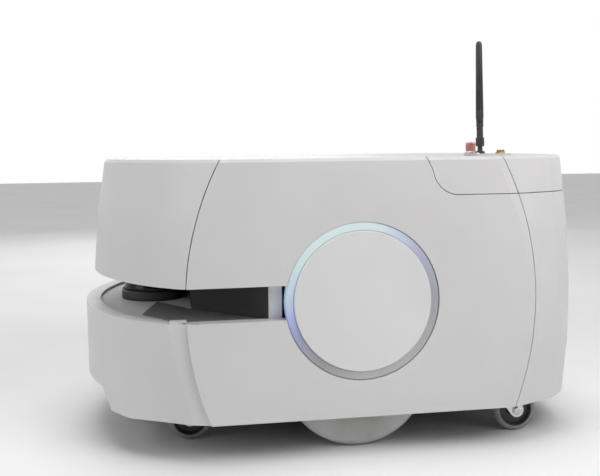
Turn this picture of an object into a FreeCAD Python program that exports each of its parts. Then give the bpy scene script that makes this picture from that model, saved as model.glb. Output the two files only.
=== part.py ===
import FreeCAD, Part
import math
import os
import re
import Sketcher

# Autonomous mobile robot: a low differential-drive base with a payload deck.
# Row frame: +X forward, +Y left, +Z up, origin on the floor under the middle of the outline.
# All sizes are millimetres. The drive axle is the datum that the covers are set out from.

doc = FreeCAD.newDocument("mobile_robot")
sheet = doc.addObject("Spreadsheet::Sheet", "Dims")

SIZES = {
    # overall
    "body_length": 699, "body_width": 500, "deck_height": 383, "skirt_height": 50,
    "axle_x": -15.5,
    # moulded covers
    "cover_wall": 3, "seam_gap": 0.9, "disc_proud": 3, "waist_height": 201, "seam_waist": 226.5,
    "seam_top": 182, "seam_skirt": 196, "hood_height": 222, "hood_reach": 353, "hood_taper": 16,
    "hood_bevel": 7, "hood_bevel_drop": 3.5, "hood_cheek": 7.5, "hood_centre": 50,
    "hood_turn": 30, "ledge_height": 178, "ledge_width": 20, "bumper_bevel": 25,
    "bumper_inset": 0.6, "bumper_bevel_drop": 4.5, "bumper_bevel_slant": 3.5,
    "bumper_bevel_flare": 1, "bumper_centre": 43, "bumper_turn": 37, "bumper_taper": 3,
    "bumper_travel": 6, "travel_play": 1, "bumper_tuck": 8, "tuck_play": 3, "tab_length": 21,
    "tab_width": 11, "tab_height": 3, "chin_height": 76, "chin_half_width": 150,
    "chin_centre": 36, "chin_radius": 300, "chin_slant": 22, "tail_taper": 11, "tail_flat": 112,
    "tail_bevel": 19, "tail_bevel_drop": 4, "tail_corner": 141, "tail_turn": 53,
    "tail_seam_step": 9.5, "rim_width": 14, "top_round": 4, "lid_height": 332.5,
    "lid_front": 86, "lid_slant": 9, "lid_corner": 32, "lid_bend_back": 9, "lid_bend_up": 12,
    # payload deck
    "deck_thickness": 8, "deck_gap": 0.9, "bolt_outer_x": 320, "bolt_outer_y": 400,
    "bolt_inner_x": 160, "bolt_inner_y": 200, "bolt_radius": 2.5, "screw_radius": 3,
    "screw_head_radius": 5.5, "screw_head_height": 3, "screw_clearance": 0.1,
    "screw_pitch": 165, "screw_rows": 3,
    # light ring and disc
    "ring_height": 199, "ring_radius": 101.5, "disc_radius": 90.5, "ring_depth": 14,
    "ring_recess": 1.2, "disc_thickness": 4, "disc_crown": 1.5, "disc_flange": 4,
    "disc_shoulder": 54, "disc_shoulder_drop": 0.4, "light_gap": 0.5,
    # scanner slot
    "tray_thickness": 3, "slot_gap": 1, "slot_end": 118, "slot_end_face": 15,
    "slot_wall_x": 215, "slot_wall_y": 121, "tray_tuck": 14, "mat_thickness": 1.5,
    "mat_front": 262, "mat_inset": 4, "mat_flare": 20, "mat_spread": 30, "tray_lap": 20,
    "tray_leg_x": 268, "tray_leg_y": 78, "tray_leg_radius": 6,
    # laser scanner
    "scanner_x": 265, "scanner_half": 46, "scanner_neck": 48, "scanner_lip": 49.2,
    "scanner_lip_height": 186, "scanner_waist": 40, "scanner_cap": 46,
    "scanner_cap_height": 214, "scanner_top": 220, "scanner_step": 2, "scanner_corner": 9,
    # base plate, an island between four casters and two wheel wells
    "plate_bottom": 52, "plate_thickness": 5, "plate_half_width": 150, "plate_front": 190,
    "well_half_length": 112, "outrigger_length": 38, "front_tongue": 310,
    "front_tongue_half": 75, "rear_tongue": 315, "rear_tongue_half": 120,
    # upright frames
    "frame_inner_y": 132, "frame_thickness": 5, "frame_front": 180, "frame_rear": 300,
    "bracket_x": 146, "bracket_height": 352, "bracket_width": 30, "bracket_drop": 16,
    "frame_flange": 12, "frame_hole_radius": 28, "frame_hole_back": 246,
    "motor_hole_radius": 42, "bulkhead_half_width": 140, "bulkhead_thickness": 4,
    "hood_arm_y": 40, "hood_arm_drop": 3, "hood_arm_tall": 6,
    # caster carriers and casters
    "carrier_bottom": 84, "carrier_thickness": 5, "carrier_half_length": 50,
    "carrier_margin": 3, "web_inset": 3, "front_caster_x": 241, "front_caster_y": 132,
    "rear_caster_x": 206, "rear_caster_y": 183, "guide_x": 288, "guide_length": 23,
    "guide_y": 62, "guide_height": 110, "guide_rod": 5, "post_half": 8, "post_height": 122,
    "beam_x": 318, "beam_half": 130, "beam_tall": 40, "caster_radius": 30, "caster_width": 22,
    "caster_trail": 22, "caster_bore": 4.05, "caster_hub": 9.6, "caster_dish": 5.5,
    "caster_rim": 21.6, "caster_bevel": 3.5, "fork_wall": 3, "fork_play": 1.3, "fork_foot": 7,
    "fork_back": 9, "fork_front": 13, "lobe_radius": 10, "crown_radius": 19, "crown_bottom": 70,
    "crown_thickness": 6, "bearing_radius": 21, "bearing_flange": 3, "kingpin_radius": 5,
    "running_gap": 0.05, "fork_gap": 0.3,
    # drive units
    "wheel_radius": 100, "wheel_width": 50, "wheel_inner_y": 163, "rim_radius": 84,
    "rim_thickness": 6, "wheel_facing": 3, "cap_radius": 52, "hub_radius": 22, "web_offset": 35,
    "rim_step": 2, "tyre_round": 9, "shaft_radius": 10, "arm_inner_y": 146, "arm_root": 14.4,
    "arm_back": 24, "arm_belly": 28.5, "arm_window": 8, "pad_inner": 4, "pad_outer": 13,
    "pad_thickness": 6, "arm_thickness": 10, "arm_gap": 0.4, "pivot_x": 120, "pivot_radius": 8,
    "pivot_boss": 16, "axle_boss": 30, "spring_x": 95, "spring_pad_height": 118,
    "spring_pad": 24, "spring_top": 200, "shelf_thickness": 5, "shelf_play": 3,
    "spring_radius": 7.5, "spring_wire": 1.5, "spring_turns": 7, "spring_steps": 12,
    "spring_lead": 0.5, "motor_radius": 28, "motor_bevel": 4, "gearbox_radius": 33,
    "motor_end_y": 44, "gearbox_end_y": 100,
    # power and control
    "battery_width": 192, "battery_front": 66, "battery_rear": 310, "battery_tall": 130,
    "battery_bevel": 6, "grip_half": 48, "grip_bottom": 84, "grip_top": 110, "bay_wall": 2,
    "bay_lip": 22, "bay_height": 236, "computer_front": 152, "computer_rear": 52,
    "computer_half_width": 100, "computer_tall": 60, "computer_base": 48, "rib_count": 5,
    "rib_gap": 4, "rib_width": 12, "rib_half_length": 90, "plug_inner": 20, "plug_outer": 60,
    "plug_bottom": 12, "plug_top": 30, "plug_length": 8, "sink_half_width": 70,
    "sink_bottom": 240, "sink_top": 340, "sink_depth": 38, "sink_base": 8, "fin_count": 9,
    "fin_thickness": 3, "contact_x": 296, "contact_half": 60, "contact_width": 9,
    "contact_drop": 4, "strip_width": 4, "strip_drop": 0.8,
    # battery door on the tail
    "door_half_width": 106, "door_bottom": 74, "door_top": 304, "door_gap": 1,
    "door_face": 329.5, "door_rib": 12, "door_rib_inset": 9, "hinge_x": 331, "hinge_radius": 3,
    "hinge_pin": 1.5, "hinge_length": 9, "hinge_low": 96, "hinge_high": 284,
    "button_radius": 11, "button_y": 84, "button_height": 190, "button_proud": 2.5,
    "button_gap": 0.3, "button_flange": 2, "collar_radius": 16, "collar_depth": 7,
    "sonar_radius": 8, "sonar_length": 12, "sonar_low": 262, "sonar_high": 296,
    "sonar_angle": 14, "sonar_lip": 1,
    # fittings on the deck
    "service_x": 207, "service_length": 53, "service_y": 192, "service_width": 49,
    "service_height": 3, "service_sink": 1, "service_margin": 6, "service_corner": 5,
    "service_gap": 0.3, "antenna_x": 178, "antenna_y": 200, "whip_top": 540, "whip_radius": 5.2,
    "whip_tip_radius": 4.2, "knuckle_height": 424, "nut_bottom": 396, "nut_top": 408,
    "nut_radius": 5.8, "knuckle_radius": 4.4, "tongue_half": 2, "whip_base": 6.6, "spigot": 6,
    "socket_nut": 3, "socket_nut_radius": 7, "red_x": 173.6, "red_y": 176, "red_radius": 7,
    "red_top": 402, "brass_x": 205.7, "brass_y": 205, "brass_radius": 7, "brass_top": 391,
    "brass_nut": 2.2, "brass_sleeve": 5.6,
}

for row, (alias, value) in enumerate(SIZES.items(), start=1):
    sheet.set(f"A{row}", alias)
    sheet.set(f"B{row}", str(value))
    sheet.setAlias(f"B{row}", alias)
doc.recompute()


class Sizes:
    """Reads the sheet: dims.deck_height is the cell with that alias."""

    def __getattr__(self, alias):
        return float(sheet.get(alias))


dims = Sizes()
WORD = re.compile(r"\b(" + "|".join(SIZES) + r")\b")


def link(expression):
    """Turns size names in an expression into references to the sheet."""
    return WORD.sub(r"Dims.\1", str(expression))


def vec(x, y, z):
    return FreeCAD.Vector(x, y, z)


# ---------------------------------------------------------------- moulded covers
# The covers are cut from master shells. Each shell is a loft through plan outlines at several
# heights, and the lens-shaped side panels end on two large cylinders that cross the body.

side_y = dims.body_width / 2 - dims.disc_proud
nose_reach = dims.body_length / 2 - dims.axle_x
tail_reach = dims.body_length / 2 + dims.axle_x
wall = dims.cover_wall


def seam_circle():
    """Centre x, centre z and radius of the circle that the front seam follows."""
    a = vec(dims.seam_top, dims.deck_height, 0)
    b = vec(dims.seam_waist, dims.waist_height, 0)
    c = vec(dims.seam_skirt, dims.skirt_height, 0)
    circle = Part.Arc(a, b, c).toShape().Curve
    return circle.Center.x, circle.Center.y, circle.Radius


SEAM_X, SEAM_Z, SEAM_R = seam_circle()


def seam_x(z):
    return SEAM_X + math.sqrt(SEAM_R ** 2 - (z - SEAM_Z) ** 2)


def drop(z):
    """0 at the waist, 1 at the deck or at the skirt, growing as a parabola."""
    half = dims.deck_height - dims.waist_height
    if z < dims.waist_height:
        half = dims.waist_height - dims.skirt_height
    return ((z - dims.waist_height) / half) ** 2


def bowed(p, q, sag, centre):
    """Edge from p to q that bulges by sag away from the centre."""
    if sag == 0:
        return Part.makeLine(p, q)
    middle = (p + q) * 0.5
    along = (q - p).normalize()
    out = vec(-along.y, along.x, 0)
    if out.dot(middle - centre) < 0:
        out = out * -1
    return Part.Arc(p, middle + out * sag, q).toShape()


def outline(half, z, tip=None):
    """Closed plan outline from its +Y half: (x, y, bulge of the stretch that follows)."""
    centre = vec(dims.axle_x, 0, z)
    left = [vec(dims.axle_x + x, y, z) for x, y, _ in half]
    right = [vec(p.x, -p.y, z) for p in left]
    sags = [sag for _, _, sag in half]
    edges = [bowed(a, b, s, centre) for a, b, s in zip(left, left[1:], sags)]
    if tip is None:
        edges.append(Part.makeLine(left[-1], right[-1]))
    else:
        edges.append(Part.Arc(left[-1], vec(dims.axle_x + tip, 0, z), right[-1]).toShape())
    back = list(zip(right, right[1:], sags))
    edges += [bowed(b, a, s, centre) for a, b, s in reversed(back)]
    edges.append(Part.makeLine(right[0], left[0]))
    return Part.Wire(edges)


def nose_knee(centre, nose, turn):
    """Where the nose arc ends: the arc is drawn about a fixed upright axis."""
    angle = math.radians(turn)
    radius = nose - centre
    return centre + radius * math.cos(angle), radius * math.sin(angle)


def hood_half(z, back, inset=0):
    nose = dims.hood_reach - dims.hood_taper * drop(z) - inset
    knee_x, knee_y = nose_knee(dims.hood_centre, nose, dims.hood_turn)
    seam = seam_x(z)
    half = [(back, side_y - inset, 0), (seam - inset / 2, side_y - inset, 0),
            (seam + dims.hood_bevel - inset / 2,
             side_y - dims.hood_bevel_drop - inset, dims.hood_cheek),
            (knee_x, knee_y, 0)]
    return half, nose


def hood_outline(z, back, inset=0):
    half, nose = hood_half(z, back, inset)
    return outline(half, z, nose)


def bumper_outline(z, back, inset=0):
    low = (dims.ledge_height - z) / (dims.ledge_height - dims.skirt_height)
    nose = nose_reach - dims.bumper_taper * low ** 2 - inset
    knee_x, knee_y = nose_knee(dims.bumper_centre, nose, dims.bumper_turn)
    seam = seam_x(z)
    side = side_y - wall - dims.bumper_inset - inset
    half = [(back, side, 0), (seam, side, 0),
            (seam + dims.bumper_bevel - dims.bumper_bevel_slant * low,
             side - dims.bumper_bevel_drop - dims.bumper_bevel_flare * low, 0),
            (knee_x, knee_y, 0)]
    return outline(half, z, nose)


def tail_half(z, back, inset=0):
    seam = -seam_x(z)
    radius = dims.tail_corner - dims.tail_taper * drop(z) - inset
    centre = dims.tail_corner - tail_reach
    turn = math.radians(dims.tail_turn)
    half = [(back, side_y - inset, 0), (seam + inset / 2, side_y - inset, 0),
            (seam - dims.tail_bevel + inset / 2, side_y - dims.tail_bevel_drop - inset, 0),
            (centre - radius * math.cos(turn), dims.tail_flat + radius * math.sin(turn),
             radius * (1 - math.cos(turn / 2))),
            (centre - radius, dims.tail_flat, 0)]
    return half


def tail_outline(z, back, inset=0):
    return outline(tail_half(z, back, inset), z)


def loft(section, stations, back):
    """Ruled solid through the outlines at (height, inset) stations."""
    return Part.makeLoft([section(z, back, inset) for z, inset in stations], True, True)


def bands(low, high, count, inset=0):
    """Evenly spaced stations from low to high, both included."""
    return [(low + (high - low) * i / count, inset) for i in range(count + 1)]


def crowned(low, high, count):
    """Stations of an outer skin whose top edge is turned over."""
    return bands(low, high - dims.top_round, count) + [(high, dims.top_round)]


def seam_cylinder(front, grow=0, step=0):
    """Solid that ends on the seam arc: everything the side panel may fill."""
    x = SEAM_X if front else -SEAM_X - step
    base = vec(dims.axle_x + x, -dims.body_width, SEAM_Z)
    return Part.makeCylinder(SEAM_R + grow, 2 * dims.body_width, base, vec(0, 1, 0))


def prism(points, low, high):
    """Upright prism on a plan polygon; x is measured from the axle."""
    corners = [vec(dims.axle_x + x, y, low) for x, y in points]
    return Part.Face(Part.makePolygon(corners + corners[:1])).extrude(vec(0, 0, high - low))


def box(x0, x1, y0, y1, z0, z1):
    """Box between two corners; x is measured from the axle."""
    corner = vec(dims.axle_x + min(x0, x1), min(y0, y1), z0)
    return Part.makeBox(abs(x1 - x0), abs(y1 - y0), z1 - z0, corner)


def rod(radius, start, end):
    """Cylinder between two points given in the row frame."""
    return Part.makeCylinder(radius, (end - start).Length, start, end - start)


def part(label, shape):
    """Document object for a moulded or machined piece whose shape comes from the shells."""
    piece = doc.addObject("Part::Feature", label)
    piece.Label = label
    piece.Shape = shape.removeSplitter() if len(shape.Solids) == 1 else shape
    piece.Placement = FreeCAD.Placement()
    return piece


skirt = dims.skirt_height
waist = dims.waist_height
top = dims.deck_height
gap = dims.seam_gap
reach = dims.body_length
FRONT_BACK = 150   # how far back the front shells are drawn before the seam trims them
SIDE_FRONT = 240   # how far forward the side shell is drawn before the seam trims it
OVERLAP = 1        # how far two solids reach into each other where they are fused
BREAK = 1          # leg of the small chamfer on turned edges
STEM = 0.6         # threaded stem of a deck fitting, as a share of its body radius


def deck_outline(inset):
    """Plan outline of the deck: the covers' own outline at deck height, moved inwards."""
    seam, edge, knee, tip = tail_half(top, 0)[1:]
    front, nose = hood_half(top, 0)
    half = [(tip[0], tip[1], knee[2]), knee[:2] + (0,), edge, seam] + front[1:]
    return outline(half, top, nose).makeOffset2D(-inset)


def deck_block(inset, low, high):
    face = Part.Face(deck_outline(inset))
    face.translate(vec(0, 0, low - top))
    return face.extrude(vec(0, 0, high - low))


deck_opening = deck_block(dims.rim_width, top - dims.deck_thickness - wall, top + wall)


def side_shell():
    """Shell of the flanks and tail, open below."""
    outer = loft(tail_outline, bands(skirt, waist, 2)[:-1] + crowned(waist, top, 2), SIDE_FRONT)
    inner = loft(tail_outline, [(skirt - wall, wall), (waist, wall), (top - wall, wall)],
                 SIDE_FRONT + wall)
    return outer.cut(inner).cut(deck_opening)


def lid_region(inset):
    """Side view of the lid that covers the top rear corner, drawn through the body."""
    y = -dims.body_width
    axle = dims.axle_x
    x = -dims.lid_front
    turn = x - dims.lid_slant
    flat = turn - dims.lid_corner
    above = top + wall
    height = dims.lid_height
    lean = dims.lid_slant / (top - height - dims.lid_corner)
    start = vec(axle + x + lean * wall, y, above)
    bend = vec(axle + turn, y, height + dims.lid_corner)
    middle = vec(axle + turn - dims.lid_bend_back, y, height + dims.lid_bend_up)
    end = vec(axle + flat, y, height)
    far = vec(-reach, y, height)
    corner = vec(-reach, y, above)
    wire = Part.Wire([Part.makeLine(start, bend), Part.Arc(bend, middle, end).toShape(),
                      Part.makeLine(end, far), Part.makeLine(far, corner),
                      Part.makeLine(corner, start)])
    if inset:
        wire = wire.makeOffset2D(-inset)
    return Part.Face(wire).extrude(vec(0, 2 * dims.body_width, 0))


shell = side_shell()
front_panel = seam_cylinder(True)
rear_panel = seam_cylinder(False, step=dims.tail_seam_step)
panels = shell.common(front_panel).common(rear_panel)
lid_hole = lid_region(0)
lid_fill = lid_region(gap)
ledge_y = side_y - dims.ledge_width
ring_front = dims.slot_end - dims.ledge_width


def side_parts(name, side):
    """Flank skin with its slot ledges, and the corner panel above it."""
    half = box(-reach, reach, 0, side * side_y, 0, top + wall)
    flank = panels.common(half)
    lower = box(ring_front, reach, side * ledge_y, side * (side_y - wall / 2),
                dims.ledge_height - wall, dims.ledge_height)
    tuck = box(ring_front, reach, side * (side_y - 2 * wall - dims.bumper_inset - dims.tuck_play),
               side * (side_y - wall), 0, top)
    tongue = dims.bumper_tuck + dims.bumper_travel + dims.travel_play
    lower = lower.cut(tuck.cut(seam_cylinder(True, -tongue)))
    upper = box(ring_front, reach, side * ledge_y, side * (side_y - wall / 2),
                dims.hood_height, dims.hood_height + wall)
    flank = flank.fuse([lower.common(front_panel), upper.common(front_panel)])
    slot = box(ring_front - wall, reach, side * (ledge_y - wall), side * (side_y + wall),
               dims.ledge_height, dims.hood_height)
    centre = vec(dims.axle_x, 0, dims.ring_height)
    ring = rod(dims.ring_radius + dims.light_gap, centre,
               centre + vec(0, side * (side_y + wall), 0))
    skin = flank.cut([slot, ring])
    part(name + "_side_skin", skin.cut(lid_hole))
    part(name + "_access_panel", skin.common(lid_fill))


def tail_parts():
    """Rear cover with its door opening, and the lid above it."""
    tail = shell.cut(seam_cylinder(False, gap, dims.tail_seam_step))
    door = box(-reach, -dims.frame_rear, -dims.door_half_width, dims.door_half_width,
               dims.door_bottom, dims.door_top)
    skin = tail.cut([door, lid_hole])
    for position, out in sonar_places():
        skin = skin.cut(rod(dims.sonar_radius + dims.screw_clearance,
                            position - out * dims.sonar_length,
                            position + out * 3 * wall))
    for height in (dims.hinge_low, dims.hinge_high):
        half = 1.5 * dims.hinge_length + 2 * gap
        skin = skin.cut(box(-reach, -dims.frame_rear, -dims.door_half_width,
                            -dims.door_half_width - dims.hinge_radius - gap,
                            height - half, height + half))
    part("rear_skin", skin)
    part("rear_top_cover", tail.common(lid_fill))


def sonar_places():
    """Centre of each rear sonar on the corner of the tail, with its outward direction."""
    places = []
    turn = math.radians(dims.sonar_angle)
    for side in (1, -1):
        for height in (dims.sonar_low, dims.sonar_high):
            radius = dims.tail_corner - dims.tail_taper * drop(height)
            out = vec(-math.cos(turn), side * math.sin(turn), 0)
            flat = vec(dims.axle_x - tail_reach + dims.tail_corner,
                       side * dims.tail_flat, height)
            places.append((flat + out * (radius - 1.5 * wall - dims.sonar_lip), out))
    return places


def hood_parts():
    """Front hood: closed above and below, open towards the body, with the slot's ceiling."""
    low = dims.hood_height
    outer = loft(hood_outline, crowned(low, top, 2), FRONT_BACK)
    inner = loft(hood_outline, [(low + wall, wall), (top - wall, wall)], FRONT_BACK - wall)
    hood = outer.cut(inner).cut([seam_cylinder(True, gap), deck_opening])
    y = ledge_y - dims.slot_gap
    seam = dims.seam_waist
    ceiling = prism([(dims.slot_end, y), (dims.slot_wall_x, dims.slot_wall_y),
                     (dims.slot_wall_x, -dims.slot_wall_y), (dims.slot_end, -y),
                     (seam, -y), (seam + wall, 0), (seam, y)], low, low + wall)
    part("front_hood", hood.fuse(ceiling))


def bumper_parts():
    """Front bumper: one moulded shell with a ledge round the slot and an undercut chin."""
    ledge = dims.ledge_height
    outer = loft(bumper_outline, [(skirt, 0), (ledge, 0)], FRONT_BACK)
    inner = loft(bumper_outline, [(skirt - wall, wall), (ledge - wall, wall)],
                 FRONT_BACK - wall)
    outer = outer.cut(chin(0))
    inner = inner.cut(chin(wall))
    well = Part.Face(bumper_outline(ledge - 2 * wall, FRONT_BACK - wall,
                                    dims.ledge_width)).extrude(vec(0, 0, 3 * wall))
    bumper = outer.cut([inner, well, seam_cylinder(True, -dims.bumper_tuck)])
    inside = side_y - 2 * wall - dims.bumper_inset - dims.tuck_play + dims.travel_play
    slack = box(0, reach, -inside, inside, 0, top)
    room = dims.bumper_travel + dims.travel_play
    bumper = bumper.cut(seam_cylinder(True, room).common(slack))
    for side in (1, -1):
        bumper = bumper.fuse(bumper_tab(side))
    part("front_bumper", bumper)
    part("bumper_carrier", bumper_beam(inner))


def bumper_beam(inner):
    """Foam-cored beam that fills the nose of the bumper, with the two rods it slides on."""
    beam = inner.common(box(dims.beam_x, reach, -dims.beam_half, dims.beam_half,
                            dims.guide_height - dims.beam_tall / 2,
                            dims.guide_height + dims.beam_tall / 2))
    start = vec(dims.axle_x + dims.guide_x - dims.guide_length, 0, dims.guide_height)
    for side in (1, -1):
        at = vec(0, side * dims.guide_y, 0)
        end = vec(dims.axle_x + dims.beam_x + OVERLAP, 0, dims.guide_height)
        beam = beam.fuse(rod(dims.guide_rod, start + at, end + at))
    return beam


def bumper_tab(side):
    """Small raised tab that bridges the bumper's travel gap on the ledge."""
    start = dims.seam_waist - dims.travel_play
    end = start + dims.tab_length
    foot = start + dims.bumper_travel + dims.tuck_play
    y1 = side * (side_y - 2 * dims.bumper_inset - 2 * wall - dims.tuck_play)
    y0 = y1 - side * dims.tab_width
    ledge = dims.ledge_height
    tab = box(start, end, y0, y1, ledge + dims.seam_gap / 2, ledge + dims.tab_height)
    return tab.fuse(box(foot, end, y0, y1, ledge - wall / 2, ledge + wall / 2))


def chin(grow):
    """Undercut below the nose: a tapered slot whose back follows a large radius."""
    height = dims.chin_height + grow
    foot = dims.chin_half_width + grow
    head = foot - dims.chin_slant
    x = dims.axle_x
    corners = [vec(x, -foot, 0), vec(x, -foot, skirt + wall), vec(x, -head, height),
               vec(x, head, height), vec(x, foot, skirt + wall), vec(x, foot, 0)]
    block = Part.Face(Part.makePolygon(corners + corners[:1])).extrude(vec(reach, 0, 0))
    radius = dims.chin_radius - grow
    core = Part.makeCylinder(radius, height + wall, vec(x + dims.chin_centre, 0, 0))
    return block.cut([core, box(-reach, dims.chin_centre, -reach, reach, 0, top)])


def slot_parts():
    """Floor and back walls of the scanner slot, and the dark mats on the floor."""
    y = ledge_y - dims.slot_gap
    end = dims.slot_end
    start = end - dims.slot_end_face
    under = dims.ledge_height - wall - dims.slot_gap
    base = under - dims.tray_thickness
    wall_top = dims.hood_height - dims.slot_gap / 2
    core = [(start - dims.tray_lap, y), (end, y), (dims.slot_wall_x, dims.slot_wall_y),
            (dims.slot_wall_x, -dims.slot_wall_y), (end, -y),
            (start - dims.tray_lap, -y)]
    solid = prism(core, base, wall_top)
    corners = [vec(dims.axle_x + x, side, base) for x, side in core]
    inner = Part.makePolygon(corners + corners[:1]).makeOffset2D(-dims.tray_thickness, 2)
    hollow = Part.Face(inner).extrude(vec(0, 0, wall_top - base))
    behind = box(-reach, start, -reach, reach, 0, top)
    walls = solid.cut([hollow, behind])
    plan = bumper_outline(base, start, dims.tray_tuck)
    floor = Part.Face(plan).extrude(vec(0, 0, dims.tray_thickness))
    floor = floor.cut(solid.cut(walls)).cut(prism(core[:1] + core[-1:] + [(0, -y), (0, y)],
                                                  0, top))
    neck = Part.makeCylinder(dims.scanner_neck + dims.slot_gap, top,
                             vec(dims.axle_x + dims.scanner_x, 0, 0))
    tray = floor.cut(hollow).fuse(walls).cut(neck)
    shelf = dims.carrier_bottom + dims.carrier_thickness
    for side in (1, -1):
        foot = vec(dims.axle_x + dims.tray_leg_x, side * dims.tray_leg_y, shelf)
        tray = tray.fuse(rod(dims.tray_leg_radius, foot, foot + vec(0, 0, base - shelf + OVERLAP)))
    part("slot_tray", tray)
    mats = []
    for side in (1, -1):
        inset = dims.mat_inset
        mat = prism([(end + inset, side * (y - inset)),
                     (dims.slot_wall_x + inset, side * dims.slot_wall_y),
                     (dims.mat_front, side * (dims.scanner_lip + 2 * inset)),
                     (dims.mat_front + dims.mat_flare, side * (dims.slot_wall_y + dims.mat_spread)),
                     (dims.seam_waist, side * (y - inset))],
                    under, under + dims.mat_thickness)
        mats.append(mat)
    part("slot_mats", Part.Compound(mats))


# ---------------------------------------------------------------- deck, lights and scanner


def deck_parts():
    """Payload deck: one machined plate with threaded load holes, and its flush screws."""
    low = top - dims.deck_thickness
    deck = deck_block(dims.rim_width + dims.deck_gap, low, top)
    tools = [rod(dims.bolt_radius, vec(x, y, low), vec(x, y, top)) for x, y in load_holes()]
    screws = []
    for x, y in screw_places():
        foot = vec(dims.axle_x + x, y, low - dims.frame_thickness)
        neck = vec(dims.axle_x + x, y, top - dims.screw_head_height)
        head = vec(dims.axle_x + x, y, top)
        loose = dims.screw_clearance
        tools.append(rod(dims.screw_radius + loose, foot, head))
        tools.append(rod(dims.screw_head_radius + loose, neck, head))
        shank = rod(dims.screw_radius, foot, neck)
        screws.append(shank.fuse(rod(dims.screw_head_radius, neck, head)).removeSplitter())
    tools.append(service_block(dims.service_margin, low, top))
    seat = service_block(-dims.service_gap, top - dims.service_sink, top)
    tools += [seat, seat.translated(vec(0, dims.service_width / 2, 0))]
    part("payload_deck", deck.cut(tools))
    part("deck_screws", Part.Compound(screws))


def load_holes():
    """Corners of the two load patterns, centred on the robot."""
    return [(sx * length / 2, sy * width / 2)
            for length, width in ((dims.bolt_outer_x, dims.bolt_outer_y),
                                  (dims.bolt_inner_x, dims.bolt_inner_y))
            for sx in (1, -1) for sy in (1, -1)]


def screw_places():
    """Screws through the deck into the top flanges of the side frames."""
    y = dims.frame_inner_y - dims.frame_flange / 2
    first = dims.frame_front - 2 * dims.frame_flange
    return [(first - i * dims.screw_pitch, side * y) for side in (1, -1)
            for i in range(int(dims.screw_rows))]


def service_block(margin, low, high):
    """Block with the outline of the service plate, smaller by margin all round."""
    corner = vec(-dims.service_x - dims.service_length / 2 + margin,
                 dims.service_y - dims.service_width / 2 + margin, low)
    return Part.makeBox(dims.service_length - 2 * margin, dims.service_width - 2 * margin,
                        high - low, corner)


def upright_edges(shape):
    return [e for e in shape.Edges if abs(e.Vertexes[0].Z - e.Vertexes[-1].Z) > OVERLAP]


def service_parts():
    """White cover plate let into the rear corner of the deck, which carries the fittings."""
    low = top - dims.service_sink
    high = top + dims.service_height
    plate = service_block(0, low, high)
    plate = plate.makeFillet(dims.service_corner, upright_edges(plate))
    for x, y, radius in ((dims.antenna_x, dims.antenna_y, dims.knuckle_radius),
                         (dims.red_x, dims.red_y, dims.red_radius * STEM),
                         (dims.brass_x, dims.brass_y, dims.brass_radius * STEM)):
        at = vec(dims.axle_x - x, y, 0)
        plate = plate.cut(rod(radius + dims.screw_clearance, at + vec(0, 0, low),
                              at + vec(0, 0, high)))
    part("service_plate", plate)


def turned(profile, at, axis=None):
    """Solid of revolution: profile holds (radius, height along the axis)."""
    points = [vec(r, 0, h) for r, h in profile]
    face = Part.Face(Part.makePolygon(points + points[:1]))
    solid = face.revolve(vec(0, 0, 0), vec(0, 0, 1), 360)
    if axis is not None:
        solid.Placement = FreeCAD.Placement(vec(0, 0, 0), FreeCAD.Rotation(vec(0, 0, 1), axis))
    solid.translate(at)
    return solid


def light_parts(name, side):
    """Ring-shaped light guide round a slightly crowned disc, on one flank."""
    out = vec(0, side, 0)
    centre = vec(dims.axle_x, 0, dims.ring_height)
    face = side_y - dims.ring_recess
    back = face - dims.ring_depth
    inner = dims.disc_radius + dims.light_gap
    outer = dims.ring_radius
    ring = turned([(inner, back), (outer, back), (outer, face - BREAK),
                   (outer - BREAK, face), (inner, face)], centre, out)
    rim = side_y + dims.disc_proud - dims.disc_crown
    edge = dims.disc_radius
    crown = side_y + dims.disc_proud
    inside = rim - dims.disc_thickness
    flange = edge - dims.disc_flange
    disc = turned([(0, inside), (flange, inside), (flange, back), (edge, back),
                   (edge, rim - BREAK), (edge - BREAK, rim),
                   (dims.disc_shoulder, crown - dims.disc_shoulder_drop), (0, crown)],
                  centre, out)
    part(name + "_light_ring", ring)
    part(name + "_light_disc", disc)


def scanner_parts():
    """Laser scanner: a block on the front carrier, a round neck and a waisted window."""
    shelf = dims.carrier_bottom + dims.carrier_thickness
    half = dims.scanner_half
    under = dims.ledge_height - wall - dims.slot_gap - dims.tray_thickness - dims.slot_gap
    x = dims.scanner_x
    block = box(x - half, x + half, -half, half, shelf, under)
    block = block.makeFillet(dims.scanner_corner, upright_edges(block))
    at = vec(dims.axle_x + x, 0, 0)
    lip = dims.scanner_lip_height
    step = dims.scanner_step
    seat = lip + step
    floor_top = under + dims.slot_gap + dims.tray_thickness + dims.slot_gap
    neck = turned([(0, under - OVERLAP), (dims.scanner_neck, under - OVERLAP),
                   (dims.scanner_neck, floor_top), (dims.scanner_lip, floor_top + BREAK),
                   (dims.scanner_lip, lip), (dims.scanner_neck, seat), (0, seat)], at)
    part("laser_scanner_body", block.fuse(neck))
    cap = dims.scanner_cap
    window = turned([(0, seat), (dims.scanner_neck - step, seat),
                     (dims.scanner_waist, dims.scanner_cap_height - 2 * step),
                     (cap, dims.scanner_cap_height), (cap, dims.scanner_top - step),
                     (cap - step, dims.scanner_top), (0, dims.scanner_top)], at)
    part("laser_scanner_window", window)


# ---------------------------------------------------------------- fittings on the deck


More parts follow.
